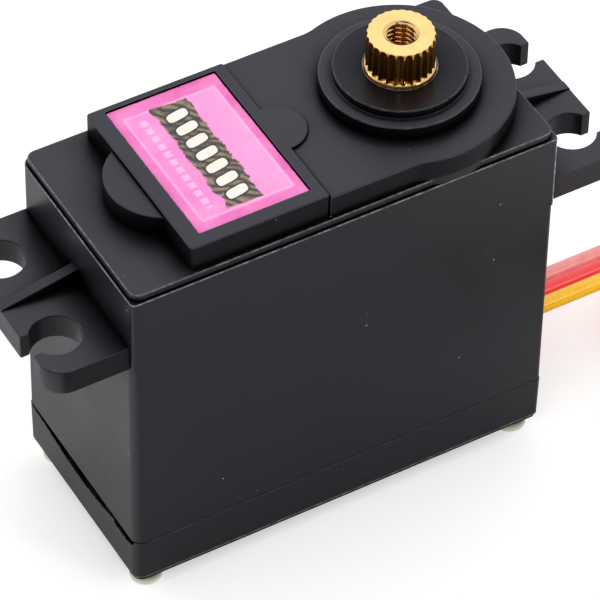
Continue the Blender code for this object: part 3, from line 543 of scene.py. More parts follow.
def label_material(name):
    """Sticker film: magenta margin, paler field with a pale border, and a dark weathered band
    with a row of plain slanted bars."""
    mat = Material(name)
    x, y, _ = mat.split(mat.mm)
    # shares of the label: across from the -X edge, along from the back edge
    across = mat.math("DIVIDE", mat.math("SUBTRACT", x, LABEL_LOW.x), LABEL_HIGH.x - LABEL_LOW.x)
    along = mat.math("DIVIDE", mat.math("SUBTRACT", LABEL_HIGH.y, y), LABEL_HIGH.y - LABEL_LOW.y)

    def window(value, low, high, soft):
        return mat.band(value, (low - soft, low + soft), (high + soft, high - soft))

    def wobble(noise, size):
        return mat.times(mat.math("SUBTRACT", noise, 0.5), size)

    field = mat.times(window(across, 0.085, 0.925, soft=0.012),
                      window(along, 0.085, 0.93, soft=0.01))
    inner = mat.times(window(across, 0.10, 0.91, soft=0.008),
                      window(along, 0.095, 0.92, soft=0.006))
    border = mat.math("SUBTRACT", field, inner, clamp=True)
    cloud = mat.noise(scale=0.32, rough=0.55, distortion=0.6)
    margin = mat.mix(mat.ramp(cloud, (0.35, 0.65)), srgb(232, 98, 180), srgb(246, 128, 196))
    pink = mat.mix(mat.ramp(across, (0.1, 0.9)), srgb(240, 126, 200), srgb(250, 156, 214))
    pale_cloud = mat.times(mat.ramp(cloud, (0.45, 0.7)), 0.4)
    pink = mat.mix(pale_cloud, pink, srgb(250, 170, 220))
    tint = mat.mix(field, margin, pink)
    tint = mat.mix(mat.times(border, 0.85), tint, srgb(252, 186, 230))

    # row of faint dashes beside the band: 15.5 periods along the label
    dash = mat.math("PINGPONG", mat.times(along, 15.5), 0.5)
    dashes = mat.times(window(across, 0.185, 0.245, soft=0.008), mat.ramp(dash, (0.14, 0.2)),
                       window(along, 0.13, 0.86, soft=0.004))
    tint = mat.mix(mat.times(dashes, 0.7), tint, srgb(253, 196, 234))

    # band: ragged edge, wood-like swirls
    rag = mat.math(
        "ADD",
        wobble(mat.noise(scale=3.4, detail=5, rough=0.75, stretch=(0.5, 1.6, 1)), size=0.06),
        wobble(mat.noise(scale=0.55, detail=2), size=0.10))
    band = mat.times(
        window(mat.math("ADD", across, rag), 0.338, 0.648, soft=0.005),
        window(mat.math("ADD", along, mat.times(rag, 0.4)), 0.088, 0.913, soft=0.005))
    swirl = mat.node("ShaderNodeTexWave", wave_type="BANDS", bands_direction="DIAGONAL")
    for key, value in (("Vector", mat.mm), ("Scale", 0.62), ("Distortion", 16.0),
                       ("Detail", 2.5), ("Detail Scale", 0.30), ("Detail Roughness", 0.55)):
        mat.put(value, swirl.inputs[key])
    grain = mat.ramp(swirl.outputs["Fac"], (0.1, 0.9))
    wood = mat.mix(grain, srgb(46, 36, 24), srgb(142, 122, 90))
    stains = mat.ramp(mat.noise(scale=0.5, detail=4, rough=0.6), (0.46, 0.62))
    wood = mat.mix(mat.times(stains, 0.7), wood, srgb(34, 27, 20))
    flecks = mat.noise(scale=2.8, detail=5, rough=0.8, stretch=(3, 1, 1))
    flecks = mat.times(mat.ramp(flecks, (0.57, 0.65)), 0.5)
    wood = mat.mix(flecks, wood, srgb(196, 176, 140))
    tint = mat.mix(band, tint, wood)

    # slanted bars with round ends, evenly spaced between first and last along the band
    first, last, count = 0.135, 0.875, 7
    middle, slant = 0.495, 0.11
    rough_edge = wobble(mat.noise(scale=2.6, detail=4, rough=0.65), size=0.16)
    lean = mat.times(mat.math("SUBTRACT", across, middle), slant)
    step = mat.math("SUBTRACT", mat.math("ADD", along, lean), first)
    step = mat.times(step, count / (last - first))
    off_step = mat.math("ADD", mat.math("SUBTRACT", 0.5, mat.math("PINGPONG", step, 0.5)),
                        mat.times(rough_edge, 0.35))
    off_middle = mat.math("ABSOLUTE", mat.math("SUBTRACT", across, middle))
    inside = mat.times(mat.math("GREATER_THAN", step, 0.0),
                       mat.math("LESS_THAN", step, float(count)))

    def bars(half_step, half_width):
        """Superellipses; the two exponents set how square the bars look."""
        lengthwise = mat.math("DIVIDE", mat.larger(off_step, 0.0), half_step)
        sidewise = mat.math("DIVIDE", off_middle, half_width)
        total = mat.math("ADD", mat.math("POWER", lengthwise, 3.2),
                         mat.math("POWER", sidewise, 4.0))
        return mat.times(mat.ramp(total, (1.10, 0.90)), inside)

    outline = mat.times(bars(half_step=0.41, half_width=0.116), 0.85)
    tint = mat.mix(outline, tint, srgb(20, 17, 15))
    cream = mat.mix(mat.noise(scale=1.2, rough=0.6), srgb(232, 224, 206), srgb(253, 249, 240))
    tint = mat.mix(bars(half_step=0.30, half_width=0.097), tint, cream)
    soft = mat.noise(scale=0.7, detail=4, rough=0.6)
    return mat.set(color=tint, rough=mat.ramp(soft, NOISE_SPAN, out=(0.34, 0.5)), coat=0.25,
                   coat_rough=0.25, normal=mat.bump(soft, strength=0.25, distance=0.00015))


def screw_head_material(name):
    """Nickel, bright on the lowest face and painted dark further up, a painted shade under the
    case.
    """
    mat = Material(name)
    _, _, height = mat.split(mat.mm)
    nickel = mat.mix(mat.noise(scale=0.5, detail=2), srgb(222, 220, 194), srgb(244, 243, 226))
    # painted shade: the head is painted dark olive further up, under the case
    tint = mat.mix(mat.ramp(height, (-0.2, -0.9)), srgb(96, 96, 82), nickel)
    relief = mat.bump(mat.noise(scale=1.5, detail=2), strength=0.05, distance=0.00003)
    return mat.set(color=tint, metal=0.15, rough=0.3, normal=relief)


def wire_material(name, color, deep):
    """Glossy wire cover that clouds between two colours, with a little painted glow that
    brightens it.
    """
    mat = Material(name)
    cloud = mat.noise(scale=1.1)
    tint = mat.mix(mat.ramp(cloud, NOISE_SPAN), deep, color)
    # painted light: the cover glows faintly in its own colour
    return mat.set(color=tint, glow=tint, glow_strength=0.10,
                   rough=mat.ramp(mat.noise(scale=3.0), NOISE_SPAN, out=(0.24, 0.36)),
                   coat=0.2, coat_rough=0.15,
                   normal=mat.bump(cloud, strength=0.1, distance=0.0001))


BLACK = black_plastic("black_nylon")
# the cover's ordinary edges get a stronger painted highlight
BLACK_COVER = black_plastic("black_nylon_cover", rough=0.36, edge_glint=0.05)
LABEL = label_material("label_film")
# brass with a painted reflection: its upright faces are painted darker and more orange
BRASS = metal("polished_brass", (0.96, 0.66, 0.24, 1), rough=0.11, grain=(1, 1, 6),
              grain_scale=2.5, dark=0.8, bump=0.06, flank_reflection=(0.92, 0.44, 0.09, 1))
HEAD = screw_head_material("nickel_screw_head")
SCREW = metal("nickel_screw", (0.95, 0.94, 0.82, 1), rough=0.26, dark=0.94, metallic=0.3)
STEEL = metal("ground_steel", (0.56, 0.56, 0.57, 1), rough=0.25, grain=(1, 1, 8))
ALLOY = metal("gear_alloy", (0.74, 0.73, 0.70, 1), rough=0.32, grain_scale=5)
CAN = metal("zinc_can", (0.62, 0.63, 0.65, 1), rough=0.3, grain=(1, 1, 0.2))
IRON = metal("rotor_laminations", (0.30, 0.30, 0.31, 1), rough=0.45, grain=(0.2, 0.2, 12),
             bump=0.4)
COPPER = metal("enamelled_copper", (0.72, 0.30, 0.12, 1), rough=0.25, grain=(0.3, 0.3, 10),
               bump=0.5)
FERRITE = plain_plastic("sintered_ferrite", (0.06, 0.06, 0.065), rough=0.7, bump=0.3)
WHITE_NYLON = plain_plastic("white_nylon", (0.74, 0.73, 0.69), rough=0.45)
POT = plain_plastic("pot_housing_blue", (0.05, 0.12, 0.30), rough=0.4)
PHENOLIC = plain_plastic("phenolic_sheet", (0.26, 0.12, 0.045), rough=0.55, bump=0.2)
BOARD = plain_plastic("solder_mask", (0.02, 0.17, 0.06), rough=0.3, coat=0.5)
CHIP = plain_plastic("moulded_epoxy", (0.025, 0.025, 0.025), rough=0.5, bump=0.3)
CAP = plain_plastic("capacitor_body", (0.50, 0.28, 0.08), rough=0.4)
RUBBER = plain_plastic("soft_rubber", (0.018, 0.018, 0.018), rough=0.75, bump=0.3)
PLUG = plain_plastic("plug_black", (0.016, 0.016, 0.017), rough=0.42, bump=0.15)
ORANGE = wire_material("wire_orange_pvc", srgb(255, 198, 4), srgb(255, 184, 0))
RED = wire_material("wire_red_pvc", srgb(250, 66, 62), srgb(244, 58, 56))
# the brown wire is painted pale pink, a painted highlight for its brightly lit look
BROWN = wire_material("wire_brown_pvc", srgb(244, 152, 148), srgb(236, 138, 134))


# ---- cavity outline ----
def post_arc(limit_x, limit_y, radius, steps):
    """Clockwise arc round the +X +Y screw post, between the two walls."""
    over_x, over_y = limit_x - SCREW_X, limit_y - SCREW_Y
    start = atan2(-sqrt(POST_R ** 2 - over_x ** 2), over_x)
    end = atan2(over_y, -sqrt(POST_R ** 2 - over_y ** 2)) - 2 * pi
    return arc(SCREW_X, SCREW_Y, radius, start, end, steps)


CAVITY = []                     # its corners go round the screw posts
for side_x, side_y in ((1, 1), (-1, 1), (-1, -1), (1, -1)):
    CAVITY += mirrored(post_arc(INNER_X, INNER_Y, POST_R, 10), side_x, side_y)

# ---- bottom cover ----
SEAM_DIP = [                    # share of the way from back to front, depth of the dip
    (0.0, 0.06), (0.04, 0.22), (0.16, 0.45), (0.34, 0.95), (0.52, 1.10), (0.70, 0.75),
    (0.795, 0.30), (0.80, 0.70), (0.90, 0.76), (0.95, 0.60), (0.98, 0.10), (1.0, 0.0)]


def seam_dip(y):
    """How far the chipped rim on the -X side sits below its neighbour."""
    depth = np.interp((HALF_Y - y) / (2 * HALF_Y), *zip(*SEAM_DIP))
    chip = 0.07 * sin(9.1 * y) * sin(2.3 * y + 0.7) + 0.05 * sin(23.0 * y + 1.1)
    return float(max(0.0, depth + chip * min(1.0, depth / 0.2)))


def cover_warp(x, y, z):
    """Narrows the cover towards the foot and makes its -X rim uneven."""
    if z < 1.0:
        x, y = x * (1 - 0.12 * (1.0 - z) / HALF_X), y * (1 - 0.10 * (1.0 - z) / HALF_Y)
    dip_start = LOW_SEAM_Z - 1.6
    if x < -HALF_X + 0.6 and z > dip_start and abs(y) < HALF_Y - 0.55:
        z -= seam_dip(y) * min(1.0, (z - dip_start) / 1.3)
    return x, y, z


LOW_BODY_RADII = (0.5, 0.5, 0.5, 1.0)
outline = densify(box_outline(HALF_X, HALF_Y, LOW_BODY_RADII, 12), 0.16)
bottom = slab("bottom_cover_shell", outline, 0, LOW_SEAM_Z - 0.01, round_top=0.015, steps=1,
              warp=cover_warp, low_rows=[(0.26, 0), (0.14, 0.08), (0.14, 0.46), (0, 0.52)])
cuts = [cylinder(SCREW_HOLE_R, -1, 6.5, at, 32) for at in CORNERS]
cuts += [cylinder(SCREW_HEAD_R + 0.1, -2, 0.3, at, 48) for at in CORNERS]
cuts.append(block("tool", (INNER_X - 1, -CABLE_HALF_W, 2.9), (HALF_X + 1, CABLE_HALF_W, 6.2)))
cuts.append(slab("tool", CAVITY, 1.3, 6))
shade(build(bottom, ("-", *cuts)))
dress(bottom, BLACK_COVER, "bottom_cover")

# ---- middle case ----
LUG_CORNER_R, LUG_ROOT_X = 2.1, HALF_X - 1.5
POT_BOTTOM, POT_TOP = 16.8, 22.8


def lug_outline(side):
    """Lug with two round holes open to its end, for the X side 1 or -1."""
    corner_x, corner_y = LUG_END - LUG_CORNER_R, LUG_HALF_W - LUG_CORNER_R
    mouth_angle = asin(MOUTH / HOLE_R)
    points = [(LUG_ROOT_X, -LUG_HALF_W, 0)]
    points += [(x, y, 0) for x, y in arc(corner_x, -corner_y, LUG_CORNER_R, -pi / 2, 0, 16)]
    for hole_y in (-HOLE_Y, HOLE_Y):
        points.append((LUG_END, hole_y - MOUTH, 0.14))
        points += [(x, y, 0) for x, y in arc(HOLE_X, hole_y, HOLE_R, -mouth_angle,
                                             -2 * pi + mouth_angle, 48)]
        points.append((LUG_END, hole_y + MOUTH, 0.14))
    points += [(x, y, 0) for x, y in arc(corner_x, corner_y, LUG_CORNER_R, 0, pi / 2, 16)]
    points.append((LUG_ROOT_X, LUG_HALF_W, 0))
    return mirrored(soften(points, 4), side, 1)


def lug_rib(side):
    """Rib down the middle of a lug, taller at its foot, with rounded top edges."""
    profile = [(HALF_X - 0.6, LUG_TOP - 1.6), (LUG_END, LUG_TOP - 1.6), (LUG_END, LUG_TOP + 0.1),
               (HALF_X + 0.2, LUG_TOP + 1.42), (HALF_X - 0.6, LUG_TOP + 1.55)]
    bm = bmesh.new()
    for y in (-0.5, 0.5):
        for x, z in profile:
            bm.verts.new((side * x * MM, y * MM, z * MM))
    bm.verts.ensure_lookup_table()
    count = len(profile)
    front, back = bm.verts[:count], bm.verts[count:]
    bm.faces.new(front)
    bm.faces.new(back[::-1])
    for j in range(count):
        k = (j + 1) % count
        bm.faces.new((front[j], back[j], back[k], front[k]))
    bmesh.ops.recalc_face_normals(bm, faces=bm.faces)
    upper_edges = [edge for edge in bm.edges
                   if all(vert.co.z > (LUG_TOP + 0.05) * MM for vert in edge.verts)]
    bmesh.ops.bevel(bm, geom=upper_edges, offset=0.09 * MM, segments=3, profile=0.5,
                    affect="EDGES")
    return from_bmesh("tool", bm)


middle = slab("middle_case_shell",
              box_outline(HALF_X - 0.05, HALF_Y - 0.05, LOW_BODY_RADII, 12),
              LOW_SEAM_Z, LUG_BOTTOM + 0.4, round_low=0.015, steps=1)
adds = [slab("tool", box_outline(HALF_X, HALF_Y, (0.35, 1.2, 1.2, 0.5), 10),
             LUG_BOTTOM, TOP_SEAM_Z, round_low=0.05, round_top=0.08, steps=3)]
for side in (1, -1):
    adds.append(slab("tool", lug_outline(side), LUG_BOTTOM, LUG_TOP,
                     round_low=0.12, round_top=0.12, steps=3))
    adds.append(lug_rib(side))
cavities = [slab("tool", CAVITY, 4, DECK_BOTTOM),
            slab("tool", CAVITY, DECK_TOP, 36),
            slab("tool", rounded((-INNER_X, -INNER_Y), (INNER_X, INNER_Y), 0.4, 4), 30.0, 37)]
# inside the case: the pot's housing and the boss round pin B
inner_adds = [cylinder(6.4, POT_BOTTOM - 0.2, DECK_BOTTOM + 0.5, (OUT_X, 0), 64),
              cylinder(1.5, DECK_TOP - 0.5, 28.95, (PIN_B_X, 0), 32)]
inner_cuts = [cylinder(5.45, POT_BOTTOM - 1, POT_TOP + 0.1, (OUT_X, 0), 64),
              cylinder(3.7, 20, 28, (OUT_X, 0)),
              cylinder(BEARING_HOLE_R, 23.92, 28, (OUT_X, 0), 64),
              cylinder(2.2, 24, 26.25, (MOTOR_X, 0)),
              cylinder(1.85, 24, 28, (MOTOR_X, 0)),
              cylinder(PIN_HOLE_R, 25.8, 28, (PIN_A_X, 0), 32),
              cylinder(PIN_HOLE_R, 26.3, 30, (PIN_B_X, 0), 32)]
for motor_screw in ((MOTOR_X, -4.9), (MOTOR_X, 4.9)):
    inner_cuts.append(cylinder(0.9, 24, 28, motor_screw, 24))
    inner_cuts.append(cylinder(1.65, DECK_TOP - 0.75, 28, motor_screw, 32))
holes = [cylinder(SCREW_HOLE_R, 3, TOP_SEAM_Z + 0.3, at, 32) for at in CORNERS]
holes.append(block("tool", (INNER_X - 1, -CABLE_HALF_W, 4),
                   (HALF_X + 1, CABLE_HALF_W, LOW_SEAM_Z + 0.35)))
shade(build(middle, ("+", *adds), ("-", *holes, *cavities), ("+", *inner_adds),
            ("-", *inner_cuts)))
dress(middle, BLACK, "middle_case")

# ---- top cover ----
DOME_HALF, DOME_START_X, BLEND_R = 9.2, -1.45, 4.0


def dome_outline():
    """Arc round the shaft that runs through concave blends into a straight-sided end."""
    blend_y = DOME_HALF + BLEND_R
    blend_x = OUT_X - sqrt((DOME_R + BLEND_R) ** 2 - blend_y ** 2)
    angle = atan2(-blend_y, blend_x - OUT_X)
    points = [(DOME_START_X, -DOME_HALF)]
    points += arc(blend_x, -blend_y, BLEND_R, pi / 2, pi + angle, 8)
    points += arc(OUT_X, 0, DOME_R, angle, -angle, 110)[1:]
    points += arc(blend_x, blend_y, BLEND_R, pi - angle, 3 * pi / 2, 8)[1:]
    return points + [(DOME_START_X, DOME_HALF)]


plate_x, plate_y = HALF_X - 0.26, HALF_Y - 0.26
top = slab("top_cover_shell", rounded((-plate_x, -plate_y), (plate_x, plate_y), 0.9, 8),
           TOP_SEAM_Z + 0.06, PLATE_TOP, round_low=0.08, round_top=0.10, steps=3)
boss = soften([(0, 35.5, 0), (BOSS_R, 35.5, 0), (BOSS_R, BOSS_TOP, 0.16),
               (COLLAR_R, BOSS_TOP, 0.10), (COLLAR_R, COLLAR_TOP, 0.14), (0, COLLAR_TOP, 0)],
              4, closed=False)
adds = [slab("tool", dome_outline(), TOP_SEAM_Z + 0.1, DOME_TOP, round_top=0.22),
        # frame round the label, and two round pads on the centre line
        slab("tool", rounded((-14.45, -9.1), (-1.43, 9.1), 0.3, 5),
             TOP_SEAM_Z + 0.15, FRAME_TOP, round_top=0.16, steps=3),
        slab("tool", circle(-11.95, 0, 5.13, 96),
             TOP_SEAM_Z + 0.2, DOME_TOP - 0.05, round_top=0.10, steps=3),
        slab("tool", circle(-1.4, 0, 2.65, 72),
             TOP_SEAM_Z + 0.25, FRAME_TOP - 0.03, round_top=0.10, steps=3),
        lathe("tool", boss, (OUT_X, 0), 128)]
# screw posts that reach down into the case
limit_x, limit_y = INNER_X - 0.15, INNER_Y - 0.15
post = (post_arc(limit_x, limit_y, POST_R - 0.02, 16) + [(limit_x, limit_y)])[::-1]
for side_x, side_y in SIDES:
    adds.append(slab("tool", mirrored(post, side_x, side_y), 30.15, TOP_SEAM_Z + 0.35))
bore = [(0, 38), (3.13, 38), (3.13, COLLAR_TOP - 0.03), (3.17, COLLAR_TOP + 0.01), (3.17, 41),
        (0, 41)]
cuts = [cylinder(8.85, 33, 36.0, (OUT_X, 0), 96),
        block("tool", (-8.6, -7.6, 33), (OUT_X - 4, 7.6, 36.02)),
        cylinder(BEARING_HOLE_R, 35, 39.1, (OUT_X, 0), 64),
        lathe("tool", bore, (OUT_X, 0), 96),
        slab("tool", rounded((-13.0, -7.75), (-2.5, 8.5), 0.12, 3), FRAME_TOP - 0.3, 40),
        cylinder(PIN_HOLE_R, 34, 36.75, (PIN_A_X, 0), 32),
        cylinder(PIN_HOLE_R, 33, 36.2, (PIN_B_X, 0), 32)]
cuts += [cylinder(SCREW_R + 0.06, 29, 34.3, at, 32) for at in CORNERS]
shade(build(top, ("+", *adds), ("-", *cuts)))
dress(top, BLACK_COVER, "top_cover")


# ---- sticker ----
def fray(value, centre, half, depth):
    """Moves a coordinate inwards by the depth if it lies on one of the two edges."""
    on_edge = abs(abs(value - centre) - half) < 0.02
    return value - copysign(abs(depth), value - centre) * on_edge


outline = densify(rounded(LABEL_LOW.xy, LABEL_HIGH.xy, 0.18, 3), 0.25)
random = np.random.default_rng(7)
depths_x = random.normal(0, 0.02, len(outline))
depths_y = random.normal(0, 0.015, len(outline))
ragged = [(fray(x, -7.75, 5.17, depth_x), fray(y, 0.375, 8.045, depth_y))
          for (x, y), depth_x, depth_y in zip(outline, depths_x, depths_y)]
sticker = slab("label_sticker", ragged, LABEL_LOW.z, LABEL_HIGH.z, round_top=0.03, steps=2)
shade(sticker)
dress(sticker, LABEL, "label")

# ---- case screws, heads down ----
HEAD_TOP = 0.24
screw_profile = soften(
    [(0, TABLE_Z, 0), (SCREW_HEAD_R - 0.2, TABLE_Z + 0.01, 0.1),
     (SCREW_HEAD_R, TABLE_Z + 0.2, 0.16), (SCREW_HEAD_R, HEAD_TOP, 0.06),
     (SCREW_R, HEAD_TOP, 0), (SCREW_R, 0.8, 0)], 6, closed=False)
z = 1.2
while z < 31.8:                 # plain shank up to z = 24, then a ridge every 0.6
    if z < 24:
        screw_profile += [(SCREW_R, z), (SCREW_R, z + 0.1)]
    else:
        screw_profile += [(SCREW_R - 0.14, z), (SCREW_R, z + 0.22)]
    z += 0.6
screw_profile += [(SCREW_R - 0.05, 33.0), (0.35, 33.9), (0, 33.9)]
for k, at in enumerate(CORNERS):
    screw = lathe(f"case_screw_{k + 1}_detail", screw_profile, at, 48)
    slots = []                  # the two bars of a cross recess
    for j in (0, 1):
        slot = block("tool", (-0.85, -0.2, -0.5), (0.85, 0.2, 0.6))
        slot.data.transform(Matrix.Translation((at[0] * MM, at[1] * MM, TABLE_Z * MM))
                            @ Matrix.Rotation(radians(35 + 40 * k + 90 * j), 4, "Z"))
        slots.append(slot)
    shade(build(screw, ("-", *slots)), 40)
    dress(screw, HEAD, f"case_screw_{k + 1}")

# ---- output shaft: one closed skin, from the bottom of the threaded hole, over the splines,
# to the socket underneath ----
TEETH, TIP_R, ROOT_R, BEVEL_R, JOURNAL_R = 25, 2.96, 2.71, 2.86, 2.97
THREAD_PITCH, THREAD_MINOR_R, THREAD_MAJOR_R, THREAD_START = 0.5, 1.27, 1.50, 37.6
SPLINE_END, RUNOUT = 39.85, 0.26
TOOTH = [                       # share of a tooth's pitch, radius
    (-0.5, ROOT_R), (-0.40, ROOT_R + 0.03), (-0.25, ROOT_R + 0.12), (-0.07, TIP_R - 0.01),
    (0.07, TIP_R - 0.01), (0.25, ROOT_R + 0.12), (0.40, ROOT_R + 0.03)]
MOUTH_RINGS = [                 # radius, depth below the top face
    (1.44, 0.08), (1.49, 0.03), (1.54, 0.006), (1.60, 0), (2.0, 0), (2.45, 0)]
BEVEL_RINGS = [                 # share of plain circle, inset, depth below the top face
    (0.70, 0.05, 0.0), (0.68, 0.015, 0.012), (0.62, 0.0, 0.05), (0.45, 0.0, 0.12),
    (0.2, 0.0, 0.21), (0.0, 0.0, 0.30)]
BODY_RINGS = [                  # radius, z: collar, journal, flange, socket
    (3.00, 39.57), (3.04, 39.53), (3.07, 39.46), (3.08, 39.38), (3.08, 39.15),
    (JOURNAL_R, 39.05), (JOURNAL_R, 35.95), (3.4, 35.9), (3.4, 34.2), (3.7, 34.2),
    (3.7, 33.85), (JOURNAL_R, 33.8), (JOURNAL_R, 24.25), (2.85, SHAFT_BOTTOM),
    (1.72, SHAFT_BOTTOM), (1.62, 24.2), (1.62, 30.2), (1.2, 30.5)]


def shaft_rings(angles, tooth):
    """Rings as (radius at each angle, z)."""
    def plain(stations):
        return [(np.full_like(angles, radius), z) for radius, z in stations]

    rings = plain([(1.0, 35.3), (THREAD_MINOR_R, 35.6), (THREAD_MINOR_R, THREAD_START)])
    for z in np.arange(37.7, SHAFT_TOP - 0.12, 0.05):
        phase = (z / THREAD_PITCH - angles / (2 * pi)) % 1.0
        # a narrow groove between wide lands, fading in from the thread's start
        groove = np.clip(1.25 - 2.6 * np.abs(2 * phase - 1), 0, 1)
        fade = min(1.0, (z - THREAD_START) / 0.4)
        rings.append((THREAD_MINOR_R + (THREAD_MAJOR_R - THREAD_MINOR_R) * groove * fade, z))
    rings += plain([(radius, SHAFT_TOP - depth) for radius, depth in MOUTH_RINGS])
    for share, gap, depth in BEVEL_RINGS:
        rings.append((tooth * (1 - share) + BEVEL_R * share - gap, SHAFT_TOP - depth))
    rings += [(tooth, z) for z in np.linspace(SHAFT_TOP - 0.6, SPLINE_END, 6)]
    for k in range(1, 6):       # teeth run out into the collar
        turn = k / 5 * pi / 2
        rings.append((tooth + (JOURNAL_R - tooth) * (1 - cos(turn)),
                      SPLINE_END - RUNOUT * sin(turn)))
    return rings + plain(BODY_RINGS)


angles = np.array([2 * pi * (k + share) / TEETH for k in range(TEETH) for share, _ in TOOTH])
tooth = np.array([radius for _ in range(TEETH) for _, radius in TOOTH])
rings = shaft_rings(angles, tooth)
count = len(angles)
verts = [(OUT_X, 0, 35.1)]
for radii, z in rings:
    verts += [(OUT_X + radius * cosine, radius * sine, z)
              for radius, cosine, sine in zip(radii, np.cos(angles), np.sin(angles))]
verts.append((OUT_X, 0, 30.55))
faces = []
last = 1 + (len(rings) - 1) * count
for j in range(count):
    k = (j + 1) % count
    faces.append((1 + j, 1 + k, 0))
    for start in range(1, last, count):
        faces.append((start + count + j, start + count + k, start + k, start + j))
    faces.append((len(verts) - 1, last + k, last + j))
shaft = make("output_shaft_spline", verts, faces)
bm = bmesh.new()
bm.from_mesh(shaft.data)
bmesh.ops.recalc_face_normals(bm, faces=bm.faces)
bm.to_mesh(shaft.data)
bm.free()
shade(shaft, 40)
dress(shaft, BRASS, "output_shaft", body="output")

# ---- lead ----
COIL_X, COIL_Y, COIL_R, COIL_TURNS, COIL_RISE = 49.0, -15.0, 15.0, 2.5, 2.0
WIRE_Z, WIRE_PITCH, WIRE_R = 4.05, 1.5, 0.73
PLUG_END_X, PLUG_Y, PLUG_Z = 34.0, -30.0, TABLE_Z + 0.1


def lead_path(side):
    """Control points of the wire that lies at the offset side from the lead's middle."""
    low_z = PLUG_Z + 0.7
    top_z = low_z + COIL_RISE * COIL_TURNS
    points = [(11.0, side, 3.68), (16.0, side, WIRE_Z), (22.0, side, WIRE_Z),
              (32.0, side, WIRE_Z), (38.0, side, top_z - 0.35), (43.0, side, top_z - 0.1)]
    radius = COIL_R + side
    steps = int(64 * COIL_TURNS)
    for k in range(steps + 1):
        angle = pi / 2 - 2 * pi * COIL_TURNS * k / steps
        points.append((COIL_X + radius * cos(angle), COIL_Y + radius * sin(angle),
                       low_z + COIL_RISE * COIL_TURNS * (1 - k / steps)))
    end_y, end_z = COIL_Y - radius, PLUG_Z + 1.25
    for t in (0.35, 0.7, 1.0):
        points.append((COIL_X - 12 * t, end_y, low_z + (end_z - low_z) * t * t * (3 - 2 * t)))
    points.append((PLUG_END_X - 2.0, end_y, end_z))
    return [Vector(point) for point in points]


def resample(points, step):
    """Smooth curve through the points, sampled about every step."""
    samples = []
    for i in range(len(points) - 1):
        start, end = points[i], points[i + 1]
        before, after = points[max(i - 1, 0)], points[min(i + 2, len(points) - 1)]
        slope_in, slope_out = (end - before) / 2, (after - start) / 2
        # a much longer neighbour would make the curve overshoot
        if (start - before).length > 3 * (end - start).length:
            slope_in = end - start
        if (after - end).length > 3 * (end - start).length:
            slope_out = end - start
        count = max(1, ceil((end - start).length / step))
        for k in range(count):
            t = k / count
            samples.append(start * (2 * t ** 3 - 3 * t ** 2 + 1)
                           + slope_in * (t ** 3 - 2 * t ** 2 + t)
                           + end * (-2 * t ** 3 + 3 * t ** 2) + slope_out * (t ** 3 - t ** 2))
    samples.append(points[-1])
    return samples


def tube(name, points, radius, sides=20):
    verts = []
    across = Vector((0, 1, 0))
    for i, point in enumerate(points):
        along = (points[min(i + 1, len(points) - 1)] - points[max(i - 1, 0)]).normalized()
        across = (across - along * across.dot(along)).normalized()
        up = along.cross(across)
        for x, y in circle(0, 0, radius, sides):
            verts.append(tuple(point + across * x + up * y))
    return make(name, verts, capped_faces(len(points), sides))


for node, side, material in (("wire_orange", -WIRE_PITCH, ORANGE), ("wire_red", 0.0, RED),
                             ("wire_brown", WIRE_PITCH, BROWN)):
    wire = tube(node + "_smooth", resample(lead_path(side), 0.9),
                WIRE_R if side else WIRE_R - 0.01)
    shade(wire, 60)
    dress(wire, material, node)
    wire.visible_glossy = False

# ---- plug ----
plug = block("connector_housing_shell", *mm_box("connector_housing"), 0.22)
cuts = []
for k in range(3):              # a contact channel and a window above it
    y = PLUG_Y + (k - 1) * 2.54
    cuts.append(block("tool", (PLUG_END_X - 15, y - 0.85, PLUG_Z + 0.4),
                      (PLUG_END_X - 2.9, y + 0.85, PLUG_Z + 2.1)))
    cuts.append(block("tool", (PLUG_END_X - 9.0, y - 0.6, PLUG_Z + 1.8),
                      (PLUG_END_X - 5.6, y + 0.6, PLUG_Z + 3.2), 0.08, 2))
# the shared opening for the wires
cuts.append(block("tool", (PLUG_END_X - 3.1, PLUG_Y - 2.4, PLUG_Z + 0.4),
                  (PLUG_END_X + 1, PLUG_Y + 2.4, PLUG_Z + 2.1)))
for y in (PLUG_Y - 3.85, PLUG_Y + 3.85):        # finger grooves
    for k in range(3):
        x = PLUG_END_X - 2.0 - 0.9 * k
        cuts.append(block("tool", (x - 0.22, y - 0.15, PLUG_Z - 1),
                          (x + 0.22, y + 0.15, PLUG_Z + 4)))
shade(build(plug, ("-", *cuts)))
dress(plug, PLUG, "connector_housing")

# ---- grommet ----
grommet = block("cable_grommet_soft", (INNER_X - 1.3, -3.4, 2.95), (INNER_X - 0.15, 3.4, 4.85),
                0.15, 2)
neck = block("tool", (INNER_X - 0.6, -2.5, 3.0), (HALF_X + 0.7, 2.5, 5.2), 0.3, 4)
holes = []
for y in (-WIRE_PITCH, 0, WIRE_PITCH):
    hole = cylinder(0.735, -5, 5, sides=32)
    hole.data.transform(Matrix.Translation((HALF_X * MM, y * MM, WIRE_Z * MM))
                        @ Matrix.Rotation(pi / 2, 4, "Y"))
    holes.append(hole)
shade(build(grommet, ("+", neck), ("-", *holes)))
dress(grommet, RUBBER, "cable_grommet")

